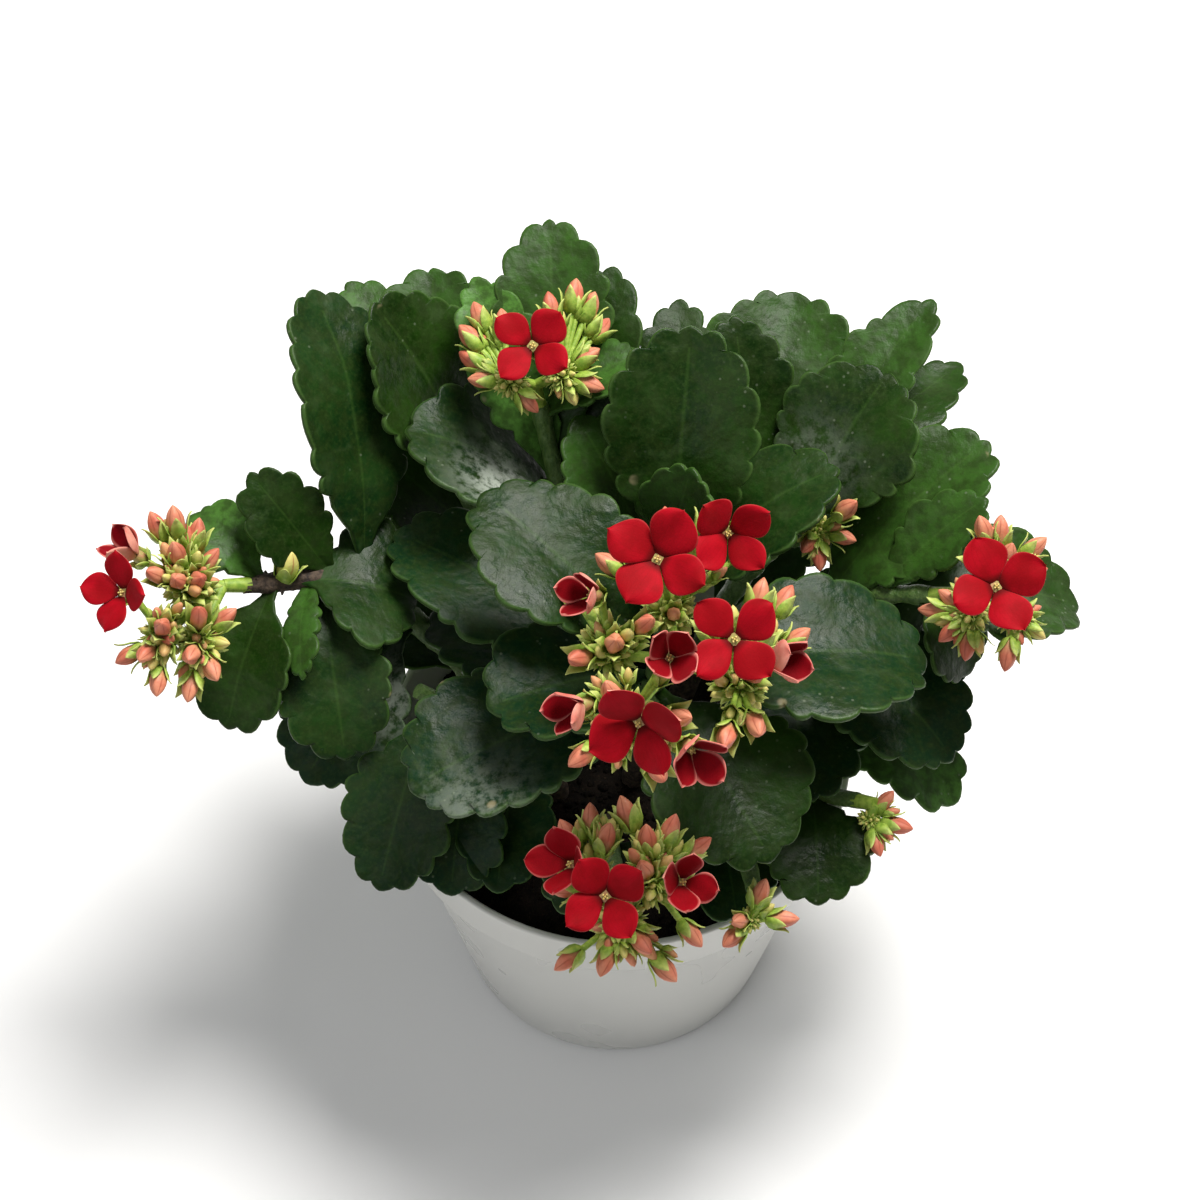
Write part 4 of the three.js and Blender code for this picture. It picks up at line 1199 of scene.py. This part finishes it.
def petal_mesh(rise, reach, quarter, dice):
    """One petal in the flower's own frame, which faces +Z, in millimetres."""
    cupped = min(max((rise - CUPPED_FROM) / CUPPED_OVER, 0), 1)
    tilt = math.radians(rise + dice.uniform(-TILT_JITTER, TILT_JITTER))
    start = np.array(PETAL_ROOT)
    length = reach * dice.uniform(1.0, 1.1) - PETAL_MOUTH
    tip = np.array([PETAL_MOUTH + length * math.cos(tilt), length * math.sin(tilt)])
    normal = np.array([-math.sin(tilt), math.cos(tilt)])
    control = start * 0.55 + tip * 0.45 + normal * (0.11 - 0.33 * cupped) * length
    tip = tip - normal * (0.02 + 0.04 * cupped) * length
    share = np.sin(np.linspace(0, np.pi / 2, PETAL_ROWS)) ** 0.95
    across = np.sin(np.linspace(-np.pi / 2, np.pi / 2, PETAL_COLUMNS))
    s, v = (grid.ravel() for grid in np.meshgrid(share, across, indexing="ij"))
    line = (1 - s)[:, None] ** 2 * start + 2 * (s * (1 - s))[:, None] * control + s[:, None] ** 2 * tip
    step = (1 - s)[:, None] * (control - start) + s[:, None] * (tip - control)
    step /= np.linalg.norm(step, axis=1)[:, None]
    up = np.stack([-step[:, 1], step[:, 0]], 1)
    wide = dice.uniform(0.9, 1.12) * (1 - 0.18 * cupped)
    half = PETAL_HALF * reach * wide * petal_half(s, dice.uniform(0.58, 0.9))
    aside = PETAL_LEAN + dice.uniform(-LEAN_JITTER, LEAN_JITTER)
    y = half * v + reach * aside * s ** 3 * (1 - 0.6 * cupped)
    bow = (0.05 - 0.22 * cupped) * half * (v ** 2) * -1
    lean = (0.13 + 0.05 * cupped) * y
    ripple = PETAL_RIPPLE * np.sin(3.3 * v + 5.1 * s + dice.uniform(0, 6)) * s * (1 - 0.4 * cupped)
    turn = quarter * math.pi / 2 + dice.uniform(-TURN_JITTER, TURN_JITTER)
    cos, sin = math.cos(turn), math.sin(turn)
    thin = np.sqrt(np.clip(1 - v ** 6, 0, 1)) * np.sqrt(np.clip(1 - s ** 14, 0, 1))
    parts = []
    for face in (1, -1):
        lift = bow + lean + ripple + face * PETAL_THICK / 2 * thin * np.clip(s / 0.03, 0, 1)
        x, z = (line + up * lift[:, None]).T
        points = np.stack([x * cos - y * sin, x * sin + y * cos, z], 1)
        faces = grid_faces(PETAL_ROWS, PETAL_COLUMNS, rows_first=True, flip=face < 0)
        values = {"across": v, "along": s, "under": np.full(len(s), float(face < 0)),
                  "cupped": np.full(len(s), cupped)}
        parts.append((points, faces, values))
    return parts


def flower_frame(centre, facing, turn):
    """The flower's frame: it faces +Z, and its petals are turned about that line."""
    out = unit(facing)
    side = unit(np.cross([0, 0, 1.0], out))
    over = np.cross(out, side)
    cos, sin = math.cos(math.radians(turn)), math.sin(math.radians(turn))
    return np.stack([side * cos + over * sin, over * cos - side * sin, out], 0), np.array(centre, float)


def flower_mesh(bloom, seed):
    centre, facing, turn, rise, reach = bloom
    axes, origin = flower_frame(centre, facing, turn)
    dice = np.random.default_rng(seed)
    parts = []
    for quarter in range(4):
        parts += petal_mesh(rise, reach, quarter, dice)
    points, faces, values = welded(parts)
    return (points / MM @ axes + origin) * MM, faces, values


bloom_number = 0
for name, head in HEADS.items():
    for i, bloom in enumerate(head["blooms"]):
        bloom_number += 1
        flower = mesh_object(f"petals_{name}_{i + 1}", *flower_mesh(bloom, bloom_number), PETAL)
        fresh_pieces.append((flower, "petal", f"flower_{name}_{i + 1}"))
print("flowers:", bloom_number, "faces in one:", len(flower.data.polygons))

# %% [markdown]
# Tubes and anthers are short thick lines, so the stalk tree makes them too.

# %% Flower tubes and anthers
TUBE_LENGTH = 3.4
# Height and radius along a tube, below the flower's centre.
TUBE_PROFILE = ((-TUBE_LENGTH, 0.9), (-2.4, 1.3), (-1.2, 1.35), (-0.5, 1.2))
# Share of the way out, height and radius along an anther.
ANTHER_PROFILE = ((0.6, -0.9, 0.1), (1.0, -0.25, 0.17), (1.0, 0.1, 0.22), (1.0, 0.3, 0.1))
ANTHER_OUT = 0.5


def plain_finish(name, scale, roughness, strength, first, second):
    """Two colours in soft specks, with a fine bump."""
    f = Finish(name)
    specks = f.noise(scale, 2.0)
    return f.shade(f.spread(specks, 0.3, 0.7, first, second), roughness, f.bump(specks, strength, 0.0002))


TUBE = plain_finish("flower tube", 700.0, 0.5, 0.3, rgb(0.3, 0.3, 0.08), rgb(0.42, 0.2, 0.1))
ANTHER = plain_finish("anther yellow", 2600.0, 0.7, 0.4, rgb(0.6, 0.42, 0.1), rgb(0.8, 0.66, 0.25))


def along_axis(bloom, side, over, up):
    """A point of the flower's own frame, in the plant's frame."""
    axes, origin = flower_frame(*bloom[:3])
    return np.array([side, over, up], float) @ axes + origin


for name, head in HEADS.items():
    for i, bloom in enumerate(head["blooms"]):
        tube_line = [(along_axis(bloom, 0, 0, up), radius) for up, radius in TUBE_PROFILE]
        lines = []
        for k in range(5):
            turn = 2 * math.pi * k / 4 + 0.4
            out = 0.0 if k == 4 else ANTHER_OUT
            x, y = out * math.cos(turn), out * math.sin(turn)
            lines.append([(along_axis(bloom, share * x, share * y, up), radius)
                          for share, up, radius in ANTHER_PROFILE])
        for piece in (stalks(f"tube_{name}_{i + 1}", [tube_line], TUBE, 12),
                      stalks(f"anthers_{name}_{i + 1}", lines, ANTHER, 8)):
            fresh_pieces.append((piece, "petal", f"flower_{name}_{i + 1}"))
print("tubes and anthers:", 2 * bloom_number)

# %% [markdown]
# ## Flower heads
# Inside a head, a stem forks into short branches, and each ends in a crowd of stalks, small
# bracts and very young buds. The frame keeps each crowd as one faceted knot. Here every bud gets
# its own stalk from the knot's middle, and young green buds and bracts fill the knot.

# %% Heads
BRANCH = 1.25
KNOT = 2.2
BUD_LENGTH = 7.7
GAP = 0.3
CORE = {"left": 4.2, "back": 3.6, "centre": 5.0, "right": 3.6, "front": 4.8, "back_right": 2.8,
        "front_right": 2.4, "side_right": 2.2}
YOUNG = 20
FILL_SPACING = 2.4
FILL_NEIGHBOURS = {"left": 5, "centre": 5, "right": 3, "front": 4}
RIPE_LENGTH = 5.6
GOLDEN_TURN = 2.4
BLOOM_CALYX = (7.5, 7.5, 4.4)
HEAD_SEED = 500


def curved(start, end, first, last, lift):
    """A stalk that leaves straight and bends a little upward on its way."""
    row = []
    for share in (i / 5 for i in range(6)):
        rise = np.array([0, 0, lift * math.sin(math.pi * share)])
        row.append((start + (end - start) * share + rise, first + (last - first) * share))
    return row


def nearest(places, point):
    return min(places, key=lambda place: np.linalg.norm(place - point))


def fillers(tips, hubs, neighbours, dice):
    """Places for younger buds: between each tip and its nearest neighbours, and a little deeper."""
    spots = []
    for tip in tips:
        order = sorted(tips, key=lambda other: np.linalg.norm(other - tip))
        for other in order[1:neighbours + 1]:
            middle = (tip + other) / 2
            spot = middle + (nearest(hubs, middle) - middle) * dice.uniform(0.08, 0.45)
            if all(np.linalg.norm(spot - old) > FILL_SPACING for old in spots + tips):
                spots.append(spot)
    return spots


def head_pieces(name, head, seed):
    """A head's stalks, and the spots of its buds, calyces, young buds and bracts."""
    dice = np.random.default_rng(seed)
    line, _ = stem_line(STEMS[name]["way"])
    heading = unit(line[-1] - line[-3])
    fork = line[-1] + heading * (GAP + 2 * KNOT)
    hubs = [np.array(hub, float) for hub in head["hubs"]]
    tips = [np.array(tip, float) for tip in head["buds"]]
    lines = [[(line[-1] - heading * 1.2, STEM_TIP_RADIUS), (fork, BRANCH + 0.2)]]
    lines += [curved(fork, hub, BRANCH, 1.0, 0.4) for hub in hubs]
    buds, calyces, young, bracts = [], [], [], []

    def sprout(hub, tip, along, length, ripe, spread, longer, thick, spots, sepals):
        """A bud in its sepals on its stalk, with its spin, ripeness and sepals' length drawn."""
        base = tip - along * length
        spin = dice.uniform(0, math.pi / 2)
        ripe = min(max(ripe + dice.uniform(*spread), 0), 1)
        spots.append((base, along, spin, length, ripe))
        sepals.append((base - along * 0.3, along, spin + 0.4, length * dice.uniform(*longer), ripe))
        lines.append(curved(hub, base, *thick, 0.2))

    for tip in tips:
        hub = nearest(hubs, tip)
        length = min(BUD_LENGTH * dice.uniform(0.85, 1.0), 0.72 * np.linalg.norm(tip - hub))
        ripe = 0.95 if length > RIPE_LENGTH else 0.35
        sprout(hub, tip, unit(tip - hub), length, ripe, (-0.25, 0.15), (0.95, 1.2), (0.55, 0.75),
               buds, calyces)
    for tip in fillers(tips, hubs, FILL_NEIGHBOURS.get(name, 1), dice):
        hub = nearest(hubs, tip)
        along = unit(tip - hub + dice.uniform(-1, 1, 3))
        length = min(dice.uniform(3.6, 5.8), 0.7 * np.linalg.norm(tip - hub))
        sprout(hub, tip, along, length, 0, (0.0, 0.9), (1.1, 1.4), (0.5, 0.6), young, bracts)
    for bloom in head["blooms"]:
        top, foot = (along_axis(bloom, 0, 0, -TUBE_LENGTH - below) for below in (0.2, 0.4))
        lines.append(curved(nearest(hubs, top), top, 0.6, 0.9, 0.2))
        calyces.append((foot, unit(bloom[1]), 0.3, BLOOM_CALYX, 1.0))
    for hub in hubs:
        for k in range(YOUNG):
            up = 1 - 1.5 * (k + 0.5) / YOUNG
            flat = math.sqrt(1 - up * up)
            turn = GOLDEN_TURN * k
            out = np.array([flat * math.cos(turn), flat * math.sin(turn), up])
            size = dice.uniform(0.95, 1.3) * CORE[name]
            start = hub + out * 0.35 * CORE[name]
            young.append((start, out, dice.uniform(0, 1.5), 0.75 * size, dice.uniform(0, 0.3)))
            bracts.append((start - out * 0.1, out, dice.uniform(0, 1.5), size, 0.2))
    return lines, buds, calyces, young, bracts


for number, (name, head) in enumerate(HEADS.items()):
    lines, buds, calyces, young, bracts = head_pieces(name, head, HEAD_SEED + number)
    grown = [stalks(f"branches_{name}", lines, SEPAL, 8)]
    for label, shape, spots, finish in (
            ("buds", bud_shape(), buds, BUD), ("calyces", calyx_shape(), calyces, SEPAL),
            ("young", YOUNG_BUD, young, BUD), ("bracts", YOUNG_CALYX, bracts, SEPAL)):
        grown.append(place_copies(f"{label}_{name}", shape, spots, finish))
    fresh_pieces += [(piece, "bud", f"head_{name}") for piece in grown]
    print(name, "buds:", len(buds), "young:", len(young))

# %% [markdown]
# ## Pot
# Only a pale strip of the rim shows in the photograph, so the pot is the usual round plastic one:
# a straight collar, a tapering wall, and a foot with a drainage ring. A turned outline could be
# bevelled afterwards, but it is short enough to write its rounded corners straight into it.

# %% Pot
def pot_finish():
    f = Finish("pale pot plastic")
    cloud = f.noise(35.0, 2.0)
    colour = f.spread(cloud, 0.35, 0.65, rgb(0.55, 0.55, 0.52), rgb(0.57, 0.57, 0.54))
    scuff = f.between(f.noise(1.0, 3.0, f.stretched((40.0, 40.0, 900.0))), 0.6, 0.75)
    colour = f.mix(f.times(scuff, 0.03), colour, rgb(0.42, 0.42, 0.39))
    grain = f.bump(f.noise(2500.0, 2.0), 0.1, 0.00005)
    return f.shade(colour, f.between(cloud, 0.3, 0.7, 0.25, 0.38), grain)


# Radius, height and rounding of each corner, from the middle of the underside to the floor inside.
POT_CORNERS = (
    (0, 0, 0), (24, 0, 0.5), (25, 2.5, 0.5), (31.5, 2.5, 0.5), (32.5, 0, 0.5), (38, 0, 1.5),
    (50.2, 65, 1.0), (52.4, 66, 1.0), (53, 78, 0.75), (51.4, 78, 0.75), (36.4, 4.2, 1.5), (0, 4.2, 0),
)
POT_TURN_STEPS = 144
CORNER_STEPS = 6
DRAIN_HOLES = 6
DRAIN_RING = 28.25
DRAIN_RADIUS = 2.4


def rounded(corners):
    """The outline with each corner replaced by a short curve."""
    outline = [corners[0][:2]]
    for before, corner, after in zip(corners, corners[1:], corners[2:]):
        middle = np.array(corner[:2], float)
        back, ahead = np.array(before[:2]) - middle, np.array(after[:2]) - middle
        size = min(corner[2], 0.45 * np.linalg.norm(back), 0.45 * np.linalg.norm(ahead))
        first, last = middle + unit(back) * size, middle + unit(ahead) * size
        for i in range(CORNER_STEPS + 1):
            t = i / CORNER_STEPS
            outline.append(tuple((1 - t) ** 2 * first + 2 * t * (1 - t) * middle + t ** 2 * last))
    return outline + [corners[-1][:2]]


def circle(steps):
    """The turn at each step round a circle."""
    return [2 * math.pi * k / steps for k in range(steps)]


def turned(outline, steps):
    """An outline of (radius, height) turned about the upright axis, as points and faces."""
    points = [(radius * math.cos(angle), radius * math.sin(angle), height)
              for radius, height in outline for angle in circle(steps)]
    return weld(np.array(points) * MM, grid_faces(len(outline), steps, wrap=True), {})


POT = pot_finish()
pot = mesh_object("pot_turned", *turned(rounded(POT_CORNERS), POT_TURN_STEPS), POT)
points, faces, _ = turned([(0, -8), (DRAIN_RADIUS, -8), (DRAIN_RADIUS, 12), (0, 12)], 32)
ring = [np.array([DRAIN_RING * math.cos(a), DRAIN_RING * math.sin(a), 0]) for a in circle(DRAIN_HOLES)]
drills = mesh_object("drills", *joined([(points + shift * MM, faces, {}) for shift in ring]), POT)
cut = pot.modifiers.new("drain holes", "BOOLEAN")
cut.operation = "DIFFERENCE"
cut.solver = "EXACT"
cut.object = drills
drilled = evaluated_mesh(pot)
pot.modifiers.remove(cut)
pot.data = drilled
bpy.data.objects.remove(drills)
pot.data.set_sharp_from_angle(angle=math.radians(50))
fresh_pieces.append((pot, "pot", "pot"))
print("pot faces:", len(pot.data.polygons))

# %% [markdown]
# ## Soil
# Dark peat with crumbs and bits of bark. The crumbs are small lumps scattered over the soil by a
# tree with a fixed seed, which is quicker than placing them and looks less even than a pattern.

# %% Soil
def soil_finish():
    f = Finish("dark peat")
    clods = f.noise(420.0, 5.0)
    bits = f.cells(900.0)
    dark = f.spread(clods, 0.3, 0.7, rgb(0.0024, 0.0018, 0.0012), rgb(0.0102, 0.0066, 0.0042))
    colour = f.mix(f.between(bits, 0.22, 0.1, 0.0, 0.5), dark, rgb(0.042, 0.027, 0.0162))
    return f.shade(colour, 0.95, f.bump(clods, 1.0, 0.0015), specular_ior_level=0.15)


SOIL = soil_finish()
SOIL_TOP = 69.0
SOIL_FLOOR = 4.5
SOIL_FLOOR_RADIUS = 36.0
SOIL_EDGE_RADIUS = 48.4
SOIL_EDGE = 66.6
SOIL_RINGS = 34
SOIL_SIDES = 96
SOIL_SINK_FROM = 0.75
# Size, layer of the noise and height of the big lumps and of the small ones.
SOIL_LUMPS = ((9, 3, 1.3), (3, 8, 0.5))


def soil_height(x, y):
    """Lumpy peat that sinks a little towards the pot's wall."""
    lumps = sum(noise.noise(Vector((x / size, y / size, layer))) * tall
                for size, layer, tall in SOIL_LUMPS)
    edge = max(math.hypot(x, y) / SOIL_EDGE_RADIUS - SOIL_SINK_FROM, 0) / (1 - SOIL_SINK_FROM)
    return (SOIL_TOP + lumps) * (1 - edge ** 2) + SOIL_EDGE * edge ** 2


def soil_mesh(whole):
    """The soil's top, with its side and bottom where the whole is wanted."""
    outline = [(0, 0), (SOIL_FLOOR_RADIUS, 0)] if whole else []
    outline += [(SOIL_EDGE_RADIUS * (1 - i / SOIL_RINGS), 1) for i in range(SOIL_RINGS + 1)]
    points, faces, _ = turned(outline, SOIL_SIDES)
    points = points / MM
    for point in points:
        point[2] = soil_height(point[0], point[1]) if point[2] > 0.5 else SOIL_FLOOR
    return points * MM, faces, {}


def crumb_shape():
    """A lumpy little stone-like crumb of radius 1."""
    rings = [(0, -1)] + [(math.cos(a), math.sin(a)) for a in (-0.9, -0.3, 0.3, 0.9)] + [(0, 1)]
    points, faces, _ = turned(rings, 8)
    points = points / MM
    lumpy = [point * (1 + 0.45 * noise.noise(Vector(point * 1.3))) for point in points]
    return np.array(lumpy) * np.array([1.0, 0.8, 0.65]), faces, {}


CRUMBS = {"Per Square Metre": 180000.0, "Smallest": 0.0004, "Largest": 0.0013, "Seed": 12,
          "Finish": SOIL}
# A Random Value node, too, has its own sockets for vectors and for plain numbers.
VECTOR_MIN, VECTOR_MAX, FLOAT_MIN, FLOAT_MAX, FLOAT_RESULT = 0, 1, 2, 3, 1
FULL_TURN = 6.28


def crumb_tree():
    """Scatters a shape over a surface, with a random turn and size."""
    tree, given = new_tree("crumbs", [("Crumb", "Object"), ("Per Square Metre", "Float"),
                                      ("Smallest", "Float"), ("Largest", "Float"),
                                      ("Seed", "Int"), ("Finish", "Material")])
    seed = given["Seed"]
    spread = add_node(tree, "GeometryNodeDistributePointsOnFaces", {
        "Mesh": given["Geometry"], "Density": given["Per Square Metre"], "Seed": seed})
    shape = add_node(tree, "GeometryNodeObjectInfo", {"Object": given["Crumb"]})
    size = add_node(tree, "FunctionNodeRandomValue", {
        FLOAT_MIN: given["Smallest"], FLOAT_MAX: given["Largest"], "Seed": seed}, data_type="FLOAT")
    turn = add_node(tree, "FunctionNodeRandomValue", {
        VECTOR_MIN: (0.0, 0.0, 0.0), VECTOR_MAX: (FULL_TURN, FULL_TURN, FULL_TURN), "Seed": seed},
        data_type="FLOAT_VECTOR")
    copies = add_node(tree, "GeometryNodeInstanceOnPoints", {
        "Points": spread, "Instance": shape.outputs["Geometry"], "Rotation": turn,
        "Scale": size.outputs[FLOAT_RESULT]})
    return end_tree(tree, copies, given["Finish"])


soil_bed = mesh_object("soil_bed", *soil_mesh(True), SOIL)
crumb = mesh_object("crumb", *crumb_shape(), SOIL)
soil_top = mesh_object("soil_top", *soil_mesh(False), SOIL)
crumbs = run_tree("soil_crumbs", soil_top, crumb_tree(), {"Crumb": crumb, **CRUMBS})
bpy.data.objects.remove(crumb)
fresh_pieces += [(soil_bed, "soil", "soil"), (crumbs, "soil", "soil")]
print("soil faces:", len(soil_bed.data.polygons), "crumb faces:", len(crumbs.data.polygons))

# %% [markdown]
# ## Riding and replacing
# Each new piece is set to move with a body, and the frame's solid that it stands for is hidden.
# The plant has no joints, so everything rides on the one root body.

# %% Riding
for piece, slot, solid in fresh_pieces:
    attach(piece, "root")
    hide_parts(solid)
print("pieces:", len(fresh_pieces))

# %% [markdown]
# ## Floor and light
# A wide pale floor, a large soft light above and behind the plant, a weaker one in front of it,
# and an even grey room. Large lights close to a small object keep its shadows soft. The plain
# view transform is chosen because a filmic one would turn the crimson of the petals to coral.

# %% Floor and light
FLOOR_HALF = 3
FLOOR_HEIGHT = -0.0005
f = Finish("pale floor")
FLOOR = f.shade(f.spread(f.noise(4.0), 0.3, 0.7, rgb(0.86, 0.86, 0.86), rgb(0.89, 0.89, 0.89)), 0.8)
floor_mesh = bpy.data.meshes.new("floor")
floor_mesh.from_pydata([(FLOOR_HALF * x, FLOOR_HALF * y, FLOOR_HEIGHT)
                        for x, y in ((-1, -1), (1, -1), (1, 1), (-1, 1))], [], [(0, 1, 2, 3)])
floor_mesh.materials.append(FLOOR)
floor = link_object("floor", floor_mesh)


def soft_light(name, place, target, size, power, colour):
    """A round light of that size, in metres, and power, in watts."""
    data = bpy.data.lights.new(name, "AREA")
    data.shape = "DISK"
    data.size = size
    data.energy = power
    data.color = colour
    aim(link_object(name, data), place, target)


soft_light("key", (0.22, 0.25, 0.95), (0, 0, 0.12), 0.45, 15.0, (1.0, 0.98, 0.95))
soft_light("fill", (-0.6, -0.6, 0.8), (0, 0, 0.1), 0.8, 2.2, (0.95, 0.98, 1.0))
world = bpy.data.worlds.new("room")
world.use_nodes = True
room = world.node_tree.nodes["Background"].inputs
room["Color"].default_value = rgb(1.0, 1.0, 1.0)
room["Strength"].default_value = 0.28
bpy.context.scene.world = world
bpy.context.scene.view_settings.view_transform = "Standard"
